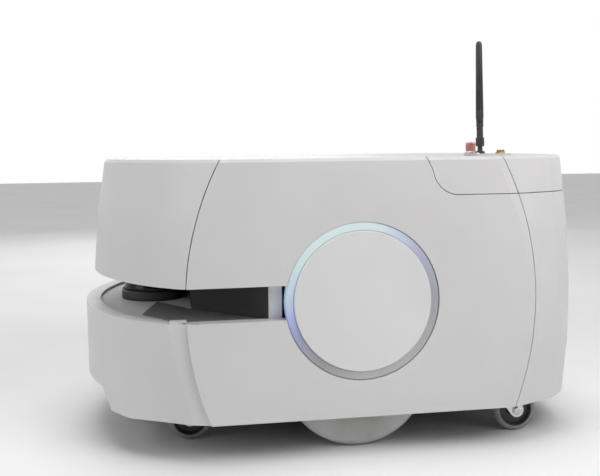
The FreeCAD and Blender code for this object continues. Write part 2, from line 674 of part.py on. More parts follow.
def fitting_parts():
    """Bulkhead fittings: sealed red cap, brass connector and the antenna's socket."""
    seat = top - dims.service_sink
    plate = top + dims.service_height
    through = top - dims.deck_thickness
    r = dims.red_radius
    collar = r + BREAK
    flange = plate + dims.service_height
    at = vec(dims.axle_x - dims.red_x, dims.red_y, 0)
    part("red_fitting", turned([(0, seat), (r * STEM, seat), (r * STEM, plate),
                                (collar, plate), (collar, flange), (r, flange),
                                (r, dims.red_top - 2 * BREAK), (r - 2 * BREAK, dims.red_top),
                                (0, dims.red_top)], at))
    r = dims.brass_radius
    sleeve = dims.brass_sleeve
    socket = sleeve - 2 * BREAK
    nut_top = plate + dims.brass_nut
    at = vec(dims.axle_x - dims.brass_x, dims.brass_y, 0)
    nut = hexagon(r, at, plate, nut_top)
    part("cable_connector", turned([(0, seat), (r * STEM, seat), (r * STEM, plate),
                                    (sleeve, plate), (sleeve, dims.brass_top),
                                    (socket, dims.brass_top), (socket, nut_top),
                                    (0, nut_top)], at).fuse(nut))
    r = dims.knuckle_radius
    neck = r - BREAK
    shoulder = plate + dims.socket_nut + BREAK
    end = dims.nut_bottom + dims.spigot
    at = vec(dims.axle_x - dims.antenna_x, dims.antenna_y, 0)
    socket = turned([(0, through), (r, through), (r, shoulder), (neck, shoulder),
                     (neck, end), (0, end)], at)
    nut = hexagon(dims.socket_nut_radius, at, plate, plate + dims.socket_nut)
    part("antenna_socket", socket.fuse(nut))


def hexagon(radius, at, low, high):
    corners = [at + vec(radius * math.cos(k * math.pi / 3), radius * math.sin(k * math.pi / 3),
                        low) for k in range(7)]
    return Part.Face(Part.makePolygon(corners)).extrude(vec(0, 0, high - low))


def antenna_parts():
    """Articulated whip: a swivelling nut with a forked knuckle, and the whip itself."""
    at = vec(dims.axle_x - dims.antenna_x, dims.antenna_y, 0)
    knuckle = dims.knuckle_radius
    bore = knuckle - BREAK + dims.running_gap
    low = dims.nut_bottom
    high = dims.nut_top
    r = dims.nut_radius
    bevel = BREAK / 2
    pivot = dims.knuckle_height
    floor = low + dims.spigot + dims.fork_gap
    swivel = turned([(bore, low), (r - bevel, low), (r, low + bevel), (r, high - bevel),
                     (r - bevel, high), (knuckle, high), (knuckle, pivot + knuckle),
                     (0, pivot + knuckle), (0, floor), (bore, floor)], at)
    tongue = dims.tongue_half
    cheek = tongue + dims.fork_gap
    reach_x = 2 * knuckle
    slot = Part.makeBox(2 * reach_x, 2 * cheek, 2 * reach_x,
                        at + vec(-reach_x, -cheek, pivot - knuckle - BREAK))
    middle = at + vec(0, 0, pivot)
    pin_end = vec(0, knuckle - BREAK, 0)
    pin = rod(dims.hinge_pin, middle - pin_end, middle + pin_end)
    part("antenna_swivel", swivel.cut(slot).fuse(pin))
    base = pivot + dims.whip_base
    wide = dims.whip_radius
    tip = dims.whip_tip_radius
    whip = turned([(0, base), (knuckle, base), (wide, base + wide), (wide, base + 2 * wide),
                   (tip, dims.whip_top - tip), (tip / 2, dims.whip_top), (0, dims.whip_top)], at)
    eye = rod(knuckle, middle - vec(0, tongue, 0), middle + vec(0, tongue, 0))
    neck = Part.makeBox(2 * knuckle, 2 * tongue, base - pivot + OVERLAP,
                        at + vec(-knuckle, -tongue, pivot))
    hole = rod(dims.hinge_pin + dims.running_gap, middle - pin_end, middle + pin_end)
    part("antenna_whip", whip.fuse([eye, neck]).cut(hole))


for name, side in (("left", 1), ("right", -1)):
    side_parts(name, side)
    light_parts(name, side)
tail_parts()
hood_parts()
bumper_parts()
slot_parts()
deck_parts()
service_parts()
scanner_parts()
fitting_parts()
antenna_parts()


# ---------------------------------------------------------------- sketched bodies
# Frames, brackets, wheels and boxes are sketched, padded, pocketed and revolved. Every sketch
# corner and length is an expression on the sheet, so the pieces follow their sizes.


def new_body(label, x="0", y="0", z="0"):
    body = doc.addObject("PartDesign::Body", label)
    body.Label = label
    for axis, expression in zip("xyz", (x, y, z)):
        body.setExpression("Placement.Base." + axis, link(expression))
    return body


def new_sketch(body, plane, level="0"):
    """Empty sketch on one of the body's own origin planes, lifted off it by level."""
    support = [f for f in body.Origin.OriginFeatures if f.Role == plane + "_Plane"][0]
    drawing = body.newObject("Sketcher::SketchObject", body.Label + "_sketch")
    drawing.AttachmentSupport = [(support, "")]
    drawing.MapMode = "FlatFace"
    drawing.setExpression("AttachmentOffset.Base.z", link(level))
    return drawing


def place_point(drawing, geometry, point, x, y):
    for kind, expression in (("DistanceX", x), ("DistanceY", y)):
        index = drawing.addConstraint(Sketcher.Constraint(kind, -1, 1, geometry, point, 1.0))
        drawing.setExpression(f"Constraints[{index}]", link(expression))


def draw_polygon(drawing, corners):
    """Closed polygon whose corners are (x, y) expressions."""
    count = len(corners)
    first = drawing.GeometryCount
    seed = [vec(10 * math.cos(2 * math.pi * k / count), 10 * math.sin(2 * math.pi * k / count), 0)
            for k in range(count + 1)]
    for start, end in zip(seed, seed[1:]):
        drawing.addGeometry(Part.LineSegment(start, end))
    for k in range(count):
        after = first + (k + 1) % count
        drawing.addConstraint(Sketcher.Constraint("Coincident", first + k, 2, after, 1))
    for k, (x, y) in enumerate(corners):
        place_point(drawing, first + k, 1, x, y)


def draw_circle(drawing, x, y, radius):
    index = drawing.addGeometry(Part.Circle(vec(0, 0, 0), vec(0, 0, 1), 1))
    size = drawing.addConstraint(Sketcher.Constraint("Radius", index, 1.0))
    drawing.setExpression(f"Constraints[{size}]", link(radius))
    place_point(drawing, index, 3, x, y)


def rectangle(x0, x1, y0, y1):
    return [(x0, y0), (x1, y0), (x1, y1), (x0, y1)]


def pad(body, drawing, length, reverse=False, middle=False):
    feature = body.newObject("PartDesign::Pad", body.Label + "_pad")
    feature.Profile = drawing
    feature.setExpression("Length", link(length))
    feature.Reversed = reverse
    feature.Midplane = middle
    return feature


def pocket(body, drawing, length=None, reverse=False, middle=False):
    feature = body.newObject("PartDesign::Pocket", body.Label + "_pocket")
    feature.Profile = drawing
    if length is None:
        feature.Type = "ThroughAll"
        feature.Midplane = True
    else:
        feature.setExpression("Length", link(length))
        feature.Reversed = reverse
        feature.Midplane = middle
    return feature


def revolve(body, drawing, axis="V_Axis"):
    feature = body.newObject("PartDesign::Revolution", body.Label + "_revolution")
    feature.Profile = drawing
    feature.ReferenceAxis = (drawing, [axis])
    feature.Angle = 360
    return feature


def signed(side, expression):
    return expression if side > 0 else f"-({expression})"


def make_base_plate():
    """Laser-cut floor of the chassis: two wheel wells, outriggers and two tongues."""
    half = [("front_tongue", "front_tongue_half"), ("plate_front", "front_tongue_half"),
            ("plate_front", "plate_half_width"),
            ("well_half_length + outrigger_length", "plate_half_width"),
            ("well_half_length + outrigger_length", "OUT"), ("well_half_length", "OUT"),
            ("well_half_length", "plate_half_width"),
            ("-well_half_length", "plate_half_width"), ("-well_half_length", "OUT"),
            ("-well_half_length - outrigger_length", "OUT"),
            ("-well_half_length - outrigger_length", "rear_tongue_half"),
            ("-rear_tongue", "rear_tongue_half")]
    out = "body_width / 2 - disc_proud - cover_wall"
    half = [(x, y.replace("OUT", out)) for x, y in half]
    corners = half + [(x, f"-({y})") for x, y in reversed(half)]
    body = new_body("base_plate", "axle_x", z="plate_bottom")
    drawing = new_sketch(body, "XY")
    draw_polygon(drawing, corners)
    pad(body, drawing, "plate_thickness")
    return body


def make_side_frame(name, side):
    """Upright plate beside the drive unit, with its top flange, pivot pin and spring shelf."""
    floor = "plate_bottom + plate_thickness"
    roof = "deck_height - deck_thickness"
    shelf = "carrier_bottom + carrier_thickness"
    outer = "frame_inner_y + frame_thickness"
    body = new_body(name + "_side_frame", "axle_x", signed(side, outer))
    plate = new_sketch(body, "XZ")
    rear = "-well_half_length - outrigger_length"
    draw_polygon(plate, [("frame_front", floor), ("frame_front", roof), ("-frame_rear", roof),
                         ("-frame_rear", shelf), (rear, shelf), (rear, floor)])
    inward = side > 0
    pad(body, plate, "frame_thickness", reverse=not inward)
    holes = new_sketch(body, "XZ")
    draw_circle(holes, "0", "wheel_radius", "motor_hole_radius")
    for x in ("-frame_hole_back", "-well_half_length", "well_half_length"):
        draw_circle(holes, x, "(ring_height + deck_height) / 2", "frame_hole_radius")
    pocket(body, holes)
    flange = new_sketch(body, "YZ", "-frame_rear")
    edge = signed(side, "-frame_thickness")
    tip = signed(side, "-frame_thickness - frame_flange")
    draw_polygon(flange, rectangle(edge, tip, "deck_height - deck_thickness - frame_thickness",
                                   roof))
    pad(body, flange, "frame_front + frame_rear")
    reach_out = signed(side, f"wheel_inner_y - shelf_play - ({outer})")
    seat = new_sketch(body, "YZ", "-spring_x - spring_pad / 2")
    draw_polygon(seat, rectangle("0", reach_out, "spring_top", "spring_top + shelf_thickness"))
    pad(body, seat, "spring_pad")
    for radius, length in (("pivot_boss", f"arm_inner_y - arm_gap - ({outer})"),
                           ("pivot_radius", f"arm_inner_y + arm_thickness - ({outer})")):
        boss = new_sketch(body, "XZ")
        draw_circle(boss, "pivot_x", "wheel_radius", radius)
        pad(body, boss, length, reverse=inward)
    skin = "body_width / 2 - disc_proud"
    wall_y = signed(side, f"{skin} - cover_wall - ({outer})")
    light_y = signed(side, f"{skin} - ring_recess - ring_depth - ({outer})")
    light_in = f"{light_y} - ({signed(side, 'frame_thickness')})"
    ring_top = "ring_height + ring_radius"
    for x, tip, height in (("-bracket_x", wall_y, "bracket_height"),
                           ("0", light_y, ring_top)):
        bracket = new_sketch(body, "YZ", f"{x} - bracket_width / 2")
        draw_polygon(bracket, rectangle("0", tip, height, f"{height} - frame_thickness"))
        pad(body, bracket, "bracket_width")
    foot = new_sketch(body, "YZ", "-bracket_width / 2")
    draw_polygon(foot, rectangle(light_in, light_y, ring_top, f"{ring_top} - bracket_drop"))
    pad(body, foot, "bracket_width")
    screws = new_sketch(body, "XY", "deck_height")
    for k in range(int(dims.screw_rows)):
        draw_circle(screws, f"frame_front - 2 * frame_flange - {k} * screw_pitch",
                    signed(side, "-frame_thickness - frame_flange / 2"),
                    "screw_radius + screw_clearance")
    pocket(body, screws, "deck_thickness + 2 * frame_thickness")
    return body


def make_bulkhead():
    """Front bulkhead across the two side frames, with a foot on the base plate."""
    floor = "plate_bottom + plate_thickness"
    body = new_body("front_bulkhead", "axle_x + frame_front")
    wall_drawing = new_sketch(body, "YZ")
    draw_polygon(wall_drawing, rectangle("-bulkhead_half_width", "bulkhead_half_width", floor,
                                         "deck_height - deck_thickness"))
    pad(body, wall_drawing, "bulkhead_thickness")
    foot = new_sketch(body, "XZ")
    draw_polygon(foot, rectangle("0", "plate_front - frame_front", floor,
                                 "plate_bottom + plate_thickness + bulkhead_thickness"))
    pad(body, foot, "2 * bulkhead_half_width", middle=True)
    rim = "deck_height - cover_wall"
    nose = "hood_reach - hood_taper - rim_width - frame_front"
    head = "deck_height - deck_thickness - hood_arm_drop"
    keel = f"{head} - hood_arm_tall"
    tip = f"{nose} + bulkhead_thickness"
    for side in (1, -1):
        arm = new_sketch(body, "XZ", signed(side, "-hood_arm_y"))
        draw_polygon(arm, [("bulkhead_thickness", head), (f"{nose} - bulkhead_thickness", head),
                           (f"{nose} + deck_gap", rim), (tip, rim), (tip, keel),
                           ("bulkhead_thickness", keel)])
        pad(body, arm, "bracket_width", middle=True)
    return body


def make_rear_frame():
    """Portal across the rear ends of the side frames, open round the battery.

    Its stand-offs end on the inner faces of the moulded tail and of the lid's rim.
    """
    x = -dims.frame_rear
    shelf = dims.carrier_bottom + dims.carrier_thickness
    low = dims.door_top + 2 * wall
    half = dims.bulkhead_half_width
    inner = dims.battery_width / 2 + 3 * dims.bay_wall
    under = top - dims.deck_thickness
    rim = dims.tail_taper + dims.rim_width - tail_reach
    plate = box(x - dims.bulkhead_thickness, x, -half, half, shelf, top - dims.deck_thickness)
    plate = plate.cut(box(x - wall * 2, x + wall, -inner, inner, 0, dims.bay_height))
    cavity = loft(tail_outline, [(skirt - wall, wall), (waist, wall), (top - wall, wall)],
                  SIDE_FRONT)
    for side in (1, -1):
        y0 = side * dims.hood_arm_y
        y1 = y0 + side * dims.bracket_width
        for start, base, head in ((x, low, low + 2 * wall), (x, under - 3 * wall, under - wall),
                                  (rim, under - 3 * wall, top - wall)):
            stay = box(-reach, start - dims.bulkhead_thickness, y0, y1, base, head)
            plate = plate.fuse(stay.common(cavity))
    part("rear_frame", plate)


def make_carrier(name, x, half_width, web_y):
    """Raised shelf across two casters, on two webs that stand on the base plate's tongue."""
    body = new_body(name, f"axle_x + {x}", z="carrier_bottom")
    shelf = new_sketch(body, "XY")
    draw_polygon(shelf, rectangle("-carrier_half_length", "carrier_half_length",
                                  f"-({half_width})", half_width))
    pad(body, shelf, "carrier_thickness")
    for side in (1, -1):
        web = new_sketch(body, "YZ", "-carrier_half_length")
        draw_polygon(web, rectangle(signed(side, web_y), signed(side, f"{web_y} - frame_thickness"),
                                    "plate_bottom + plate_thickness - carrier_bottom", "0"))
        pad(body, web, "2 * carrier_half_length")
    return body


def add_bumper_guides(body):
    """Two posts at the front of the carrier, bored for the bumper's rods."""
    local = "(guide_x - front_caster_x)"
    for side in (1, -1):
        post = new_sketch(body, "XY", "plate_bottom + plate_thickness - carrier_bottom")
        draw_polygon(post, rectangle(local, f"{local} + guide_length",
                                     signed(side, "guide_y - post_half"),
                                     signed(side, "guide_y + post_half")))
        pad(body, post, "post_height - plate_bottom - plate_thickness")
    for side in (1, -1):
        bore = new_sketch(body, "YZ", local)
        draw_circle(bore, signed(side, "guide_y"), "guide_height - carrier_bottom",
                    "guide_rod + running_gap")
        pocket(body, bore)


def make_fork(name, x, y):
    """Caster fork: crown with its kingpin, two tapered legs and the wheel's bolt."""
    body = new_body(name + "_fork", f"axle_x + {x}", y)
    width = "caster_width + 2 * fork_play + 2 * fork_wall"
    root = f"crown_bottom + {OVERLAP}"
    legs = new_sketch(body, "XZ")
    draw_polygon(legs, [("-crown_radius", root), ("fork_front", root),
                        ("fork_front", "crown_bottom - fork_back"),
                        ("-caster_trail + fork_foot", "caster_radius - fork_foot"),
                        ("-caster_trail - fork_foot", "caster_radius - fork_foot"),
                        ("-caster_trail - fork_back", "caster_radius + fork_back")])
    pad(body, legs, width, middle=True)
    lobe = new_sketch(body, "XZ")
    draw_circle(lobe, "-caster_trail", "caster_radius", "lobe_radius")
    pad(body, lobe, width, middle=True)
    space = new_sketch(body, "XZ")
    draw_polygon(space, rectangle("-3 * caster_radius", "3 * caster_radius", "0",
                                  "crown_bottom"))
    pocket(body, space, "caster_width + 2 * fork_play", middle=True)
    crown = new_sketch(body, "XY", "crown_bottom")
    draw_circle(crown, "0", "0", "crown_radius")
    pad(body, crown, "crown_thickness")
    kingpin = new_sketch(body, "XY", "crown_bottom")
    draw_circle(kingpin, "0", "0", "kingpin_radius")
    pad(body, kingpin, "carrier_bottom - crown_bottom - fork_gap")
    bolt = new_sketch(body, "XZ")
    draw_circle(bolt, "-caster_trail", "caster_radius", "caster_bore - running_gap")
    pad(body, bolt, f"{width} + 2 * fork_wall", middle=True)
    return body


def make_bearings(places):
    """Swivel bearings under the carriers, one flanged ring for each caster."""
    rings = []
    for x, y in places:
        at = vec(dims.axle_x + x, y, 0)
        low = dims.crown_bottom + dims.crown_thickness + dims.fork_gap
        bore = dims.kingpin_radius + dims.running_gap
        r = dims.bearing_radius
        race = r - dims.bearing_flange
        high = dims.carrier_bottom
        rings.append(turned([(bore, low), (race, low), (race, high - dims.bearing_flange),
                             (r, high - dims.bearing_flange), (r, high), (bore, high)], at))
    part("caster_bearings", Part.Compound(rings))


def make_caster_wheel(name, x, y):
    """Moulded caster wheel with a crowned tread, a recessed web and a hub bore."""
    body = new_body(name + "_wheel", f"axle_x + {x} - caster_trail", y, "caster_radius")
    drawing = new_sketch(body, "YZ")
    hub = "caster_width / 2 + fork_play / 2"
    half = "caster_width / 2"
    web = "caster_width / 2 - caster_dish"
    bevel = "caster_bevel"
    corners = [(hub, "caster_bore"), (hub, "caster_hub"), (web, "caster_hub + caster_dish / 2"),
               (web, "caster_rim"), (half, "caster_rim"), (half, f"caster_radius - {bevel}"),
               (f"{half} - {bevel}", "caster_radius")]
    corners += [(f"-({y})", radius) for y, radius in reversed(corners)]
    draw_polygon(drawing, corners)
    revolve(body, drawing, "H_Axis")
    return body


def make_drive_arm(name, side):
    """Swinging arm that carries the gearmotor and the wheel; its rear end takes the spring."""
    body = new_body(name + "_drive_arm", "axle_x", signed(side, "arm_inner_y"))
    outward = side > 0
    height = "wheel_radius"
    heel = "-spring_x + spring_pad / 2"
    toe = "-spring_x - spring_pad / 2"
    web = new_sketch(body, "XZ")
    draw_polygon(web, [("pivot_x", f"{height} - arm_root"), ("pivot_x", f"{height} + arm_root"),
                       ("0", f"{height} + arm_back"), (heel, "spring_pad_height"),
                       (toe, "spring_pad_height"), (toe, "spring_pad_height - arm_root"),
                       ("0", f"{height} - arm_belly")])
    pad(body, web, "arm_thickness", reverse=outward)
    for x, radius in (("pivot_x", "pivot_boss"), ("0", "axle_boss")):
        boss = new_sketch(body, "XZ")
        draw_circle(boss, x, height, radius)
        pad(body, boss, "arm_thickness", reverse=outward)
    seat = new_sketch(body, "YZ", toe)
    draw_polygon(seat, rectangle(signed(side, "-pad_inner"), signed(side, "pad_outer"),
                                 "spring_pad_height - pad_thickness", "spring_pad_height"))
    pad(body, seat, "spring_pad")
    bores = new_sketch(body, "XZ")
    draw_circle(bores, "pivot_x", height, "pivot_radius + running_gap")
    draw_circle(bores, "0", height, "shaft_radius + running_gap")
    pocket(body, bores)
    window = new_sketch(body, "XZ")
    draw_polygon(window, rectangle("axle_boss + arm_window", "pivot_x - pivot_boss - arm_window",
                                   f"{height} - arm_window", f"{height} + arm_window"))
    pocket(body, window)
    return body


def make_gearmotor(name, side):
    """Drive motor with its wider gearbox, bolted to the inner face of the arm."""
    body = new_body(name + "_gearmotor", "axle_x", "0", "wheel_radius")
    profile = new_sketch(body, "YZ")
    spigot = "gearbox_radius - motor_bevel"
    flange = "arm_inner_y - 2 * motor_bevel"
    corners = [("motor_end_y", "0"), ("motor_end_y", "motor_radius - motor_bevel"),
               ("motor_end_y + motor_bevel", "motor_radius"), ("gearbox_end_y", "motor_radius"),
               ("gearbox_end_y", "gearbox_radius"), (flange, "gearbox_radius"),
               (flange, spigot), ("arm_inner_y", spigot), ("arm_inner_y", "0")]
    draw_polygon(profile, [(signed(side, y), r) for y, r in corners])
    revolve(body, profile, "H_Axis")
    return body


def make_wheel(name, side):
    """Drive wheel: a turned hub with its shaft, and a tyre moulded over its rim and face."""
    inner = "wheel_inner_y"
    outer = "wheel_inner_y + wheel_width"
    start = "arm_inner_y + arm_gap"
    shoulder = f"{inner} - shelf_play"
    web = f"{inner} + web_offset"
    bed = "rim_radius - rim_thickness"
    face = f"{outer} - wheel_facing"
    hub = new_body(name + "_wheel_hub", "axle_x", "0", "wheel_radius")
    profile = new_sketch(hub, "YZ")
    corners = [(start, "0"), (start, "shaft_radius"), (shoulder, "shaft_radius"),
               (shoulder, "hub_radius"), (web, "hub_radius"), (web, bed),
               (f"{inner} + rim_step", bed), (f"{inner} + rim_step", "rim_radius"),
               (face, "rim_radius"), (face, "cap_radius"),
               (f"{outer} - {BREAK}", "cap_radius"), (f"{outer} - {BREAK}", "0")]
    draw_polygon(profile, [(signed(side, y), r) for y, r in corners])
    revolve(hub, profile, "H_Axis")
    tyre = new_body(name + "_wheel_tyre", "axle_x", "0", "wheel_radius")
    profile = new_sketch(tyre, "YZ")
    crown = "wheel_radius"
    turn = "0.3 * tyre_round"
    corners = [(inner, "rim_radius"), (inner, f"{crown} - tyre_round"),
               (f"{inner} + {turn}", f"{crown} - {turn}"), (f"{inner} + tyre_round", crown),
               (f"{outer} - tyre_round", crown), (f"{outer} - {turn}", f"{crown} - {turn}"),
               (outer, f"{crown} - tyre_round"), (outer, "cap_radius"), (face, "cap_radius"),
               (face, "rim_radius")]
    draw_polygon(profile, [(signed(side, y), r) for y, r in corners])
    revolve(tyre, profile, "H_Axis")


def make_spring(name, side):
    """Compression spring of square wire between the arm's pad and the frame's shelf."""
    low = dims.spring_pad_height
    high = dims.spring_top
    wire = dims.spring_wire
    radius = dims.spring_radius
    height = high - low - 2 * wire - dims.spring_lead
    count = int(dims.spring_turns * dims.spring_steps)
    turn = 2 * math.pi / dims.spring_steps
    path = [vec(radius * math.cos(turn * k), radius * math.sin(turn * k), height * k / count)
            for k in range(count + 1)]
    corners = [vec(radius + x, 0, z) for x, z in ((-wire, -wire), (wire, -wire),
                                                  (wire, wire), (-wire, wire))]
    section = Part.makePolygon(corners + corners[:1])
    coil = Part.makePolygon(path).makePipeShell([section], True, True, 1)
    y = side * (dims.arm_inner_y + (dims.arm_thickness - BREAK) / 2)
    coil.translate(vec(dims.axle_x - dims.spring_x, y, low - coil.BoundBox.ZMin))
    part(name + "_suspension_spring", coil)


def make_battery():
    """Swappable battery: a long box with bevelled edges and a hand recess in its rear face."""
    body = new_body("battery", "axle_x", z="carrier_bottom + carrier_thickness + bay_wall")
    end = new_sketch(body, "YZ", "-battery_rear")
    half = "battery_width / 2"
    bevel = "battery_bevel"
    draw_polygon(end, [(f"-{half}", bevel), (f"-{half} + {bevel}", "0"),
                       (f"{half} - {bevel}", "0"), (half, bevel),
                       (half, f"battery_tall - {bevel}"), (f"{half} - {bevel}", "battery_tall"),
                       (f"-{half} + {bevel}", "battery_tall"),
                       (f"-{half}", f"battery_tall - {bevel}")])
    pad(body, end, "battery_rear - battery_front")
    grip = new_sketch(body, "YZ", "-battery_rear")
    draw_polygon(grip, rectangle("-grip_half", "grip_half", "grip_bottom", "grip_top"))
    pocket(body, grip, "bay_lip", reverse=True)
    return body


def make_battery_tray():
    """Folded tray on the rear carrier, which the battery slides along."""
    body = new_body("battery_tray", "axle_x", z="carrier_bottom + carrier_thickness")
    section = new_sketch(body, "YZ", "-battery_rear")
    inner = "battery_width / 2 + light_gap"
    outer = "battery_width / 2 + light_gap + bay_wall"
    draw_polygon(section, [(f"-({outer})", "0"), (outer, "0"), (outer, "bay_lip"),
                           (inner, "bay_lip"), (inner, "bay_wall"), (f"-({inner})", "bay_wall"),
                           (f"-({inner})", "bay_lip"), (f"-({outer})", "bay_lip")])
    pad(body, section, "battery_rear - battery_front")
    return body


def make_computer():
    """Main computer: a low box on the base plate with a finned lid and two connectors."""
    body = new_body("core_computer", "axle_x", z="plate_bottom + plate_thickness")
    base = new_sketch(body, "XY")
    draw_polygon(base, rectangle("computer_rear", "computer_front", "-computer_half_width",
                                 "computer_half_width"))
    pad(body, base, "computer_base")
    ribs = int(dims.rib_count)
    for k in range(ribs):
        x = f"computer_rear + rib_gap + {k} * (computer_front - computer_rear) / {ribs}"
        rib = new_sketch(body, "XY", "computer_base")
        draw_polygon(rib, rectangle(x, f"{x} + rib_width", "-rib_half_length", "rib_half_length"))
        pad(body, rib, "computer_tall - computer_base")
    for side in (1, -1):
        plug = new_sketch(body, "YZ", "computer_front")
        draw_polygon(plug, rectangle(signed(side, "plug_inner"), signed(side, "plug_outer"),
                                     "plug_bottom", "plug_top"))
        pad(body, plug, "plug_length")
    return body


def make_motor_controller():
    """Motor controller: a finned heat sink bolted to the rear face of the front bulkhead."""
    body = new_body("motor_controller", "axle_x + frame_front", z="sink_bottom")
    comb = new_sketch(body, "XY")
    corners = [("0", "sink_half_width"), ("0", "-sink_half_width")]
    count = int(dims.fin_count)
    for k in range(count):
        start = (f"-sink_half_width + {k} * (2 * sink_half_width - fin_thickness)"
                 f" / {count - 1}")
        end = f"{start} + fin_thickness"
        corners += [("-sink_base", start), ("-sink_depth", start), ("-sink_depth", end),
                    ("-sink_base", end)]
    del corners[2]
    corners.pop()
    draw_polygon(comb, corners)
    pad(body, comb, "sink_top - sink_bottom")
    return body


def make_charge_contacts():
    """Charging block under the front tongue with two contact strips."""
    body = new_body("charge_contacts", "axle_x + contact_x", z="plate_bottom")
    block = new_sketch(body, "XY")
    draw_polygon(block, rectangle("-contact_width", "contact_width", "-contact_half",
                                  "contact_half"))
    pad(body, block, "contact_drop", reverse=True)
    edge = "contact_half - strip_width"
    for x in ("-1.5 * strip_width", "0.5 * strip_width"):
        strip = new_sketch(body, "XY", "-contact_drop")
        draw_polygon(strip, rectangle(x, f"{x} + strip_width", f"-({edge})", edge))
        pad(body, strip, "strip_drop", reverse=True)
    return body


def sonar_parts():
    """Rear distance sensors, pressed into the corner of the tail."""
    r = dims.sonar_radius
    sensors = []
    for position, out in sonar_places():
        low = -dims.sonar_length
        lip = dims.sonar_lip
        face = 1.5 * wall + lip
        sensors.append(turned([(0, low), (r, low), (r, face - lip), (r - lip, face),
                               (r - 2 * lip, face), (r - 3 * lip, wall), (0, wall)],
                              position, out))
    part("rear_sonars", Part.Compound(sensors))


def hinge_parts():
    """Fixed halves of the battery door's hinges: knuckle, pin and a leaf let into the skin."""
    x = -dims.hinge_x
    y = -dims.door_half_width
    tall = dims.hinge_length / 2
    hinges = []
    for height in (dims.hinge_low, dims.hinge_high):
        at = vec(dims.axle_x + x, y, height)
        up = vec(0, 0, tall)
        pin = vec(0, 0, 3 * tall + dims.fork_gap)
        leaf = box(x, x + 4 * dims.hinge_radius, y - dims.hinge_radius - gap, y - dims.light_gap,
                   height - tall, height + tall)
        hinges.append(rod(dims.hinge_radius, at - up, at + up)
                      .fuse([rod(dims.hinge_pin, at - pin, at + pin), leaf]).removeSplitter())
    part("rear_hinges", Part.Compound(hinges))


def make_battery_door():
    """Battery door: flat panel, stiffening frame behind it, hinge knuckles and latch collar."""
    body = new_body("battery_door", "axle_x")
    half = "door_half_width - door_gap"
    low = "door_bottom + door_gap"
    high = "door_top - door_gap"
    face = "-door_face"
    panel = new_sketch(body, "YZ", face)
    draw_polygon(panel, rectangle(f"-({half})", half, low, high))
    pad(body, panel, "cover_wall")
    rib = new_sketch(body, "YZ", f"{face} + cover_wall")
    inset = "door_rib_inset"
    for shift in ("0", "cover_wall"):
        side_edge = f"{half} - {inset} - {shift}"
        draw_polygon(rib, rectangle(f"-({side_edge})", side_edge, f"{low} + {inset} + {shift}",
                                    f"{high} - {inset} - {shift}"))
    pad(body, rib, "door_rib")
    collar = new_sketch(body, "YZ", f"{face} + cover_wall")
    draw_circle(collar, "button_y", "button_height", "collar_radius")
    pad(body, collar, "collar_depth")
    bore = new_sketch(body, "YZ", f"{face} + cover_wall")
    draw_circle(bore, "button_y", "button_height", "button_radius + button_flange + button_gap")
    pocket(body, bore, "door_rib", reverse=True)
    bore = new_sketch(body, "YZ")
    draw_circle(bore, "button_y", "button_height", "button_radius + button_gap")
    pocket(body, bore)
    pivot = ("-hinge_x", "-door_half_width")
    for height in ("hinge_low", "hinge_high"):
        for base in (f"{height} + hinge_length / 2 + fork_gap",
                     f"{height} - 1.5 * hinge_length - fork_gap"):
            knuckle = new_sketch(body, "XY", base)
            draw_circle(knuckle, *pivot, "hinge_radius")
            pad(body, knuckle, "hinge_length")
            leaf = new_sketch(body, "XY", base)
            draw_polygon(leaf, rectangle("-hinge_x", "-door_face + cover_wall",
                                         "-door_half_width", "-door_half_width + hinge_radius"))
            pad(body, leaf, "hinge_length")
            hole = new_sketch(body, "XY", base)
            draw_circle(hole, *pivot, "hinge_pin + running_gap")
            pocket(body, hole, "hinge_length", reverse=True)
        relief = new_sketch(body, "XY", f"{height} - hinge_length / 2 - fork_gap")
        draw_circle(relief, *pivot, "hinge_radius + light_gap")
        pocket(body, relief, "hinge_length + 2 * fork_gap", reverse=True)
    return body


def make_latch_button():
    """Latch button of the battery door, held behind the panel by its flange."""
    body = new_body("door_latch_button", "axle_x - door_face", "button_y", "button_height")
    profile = new_sketch(body, "XZ")
    front = "cover_wall + fork_gap"
    back = f"{front} + button_flange"
    rim = "button_radius + button_flange"
    draw_polygon(profile, [("-button_proud", "0"), ("-button_proud", f"button_radius - {BREAK}"),
                           (f"-button_proud + {BREAK}", "button_radius"),
                           (front, "button_radius"), (front, rim), (back, rim), (back, "0")])
    revolve(body, profile, "H_Axis")
    return body


make_base_plate()
make_bulkhead()
make_rear_frame()
for name, side in (("left", 1), ("right", -1)):
    make_side_frame(name, side)
    make_drive_arm(name, side)
    make_gearmotor(name, side)
    make_wheel(name, side)
    make_spring(name, side)
front_shelf = make_carrier("front_caster_carrier", "front_caster_x",
                           "front_caster_y + bearing_radius + carrier_margin",
                           "front_tongue_half - web_inset")
add_bumper_guides(front_shelf)
make_carrier("rear_caster_carrier", "-rear_caster_x",
             "rear_caster_y + bearing_radius + carrier_margin", "rear_tongue_half - web_inset")
bearing_places = []
for end, toward in (("front", 1), ("rear", -1)):
    for name, side in (("left", 1), ("right", -1)):
        x = f"{toward} * {end}_caster_x"
        y = f"{side} * {end}_caster_y"
        make_fork(f"{end}_{name}", x, y)
        make_caster_wheel(f"{end}_{name}_caster", x, y)
        bearing_places.append((toward * getattr(dims, f"{end}_caster_x"),
                               side * getattr(dims, f"{end}_caster_y")))
make_bearings(bearing_places)
make_battery()
make_battery_tray()
make_computer()
make_motor_controller()
make_charge_contacts()
sonar_parts()
hinge_parts()
make_battery_door()
make_latch_button()


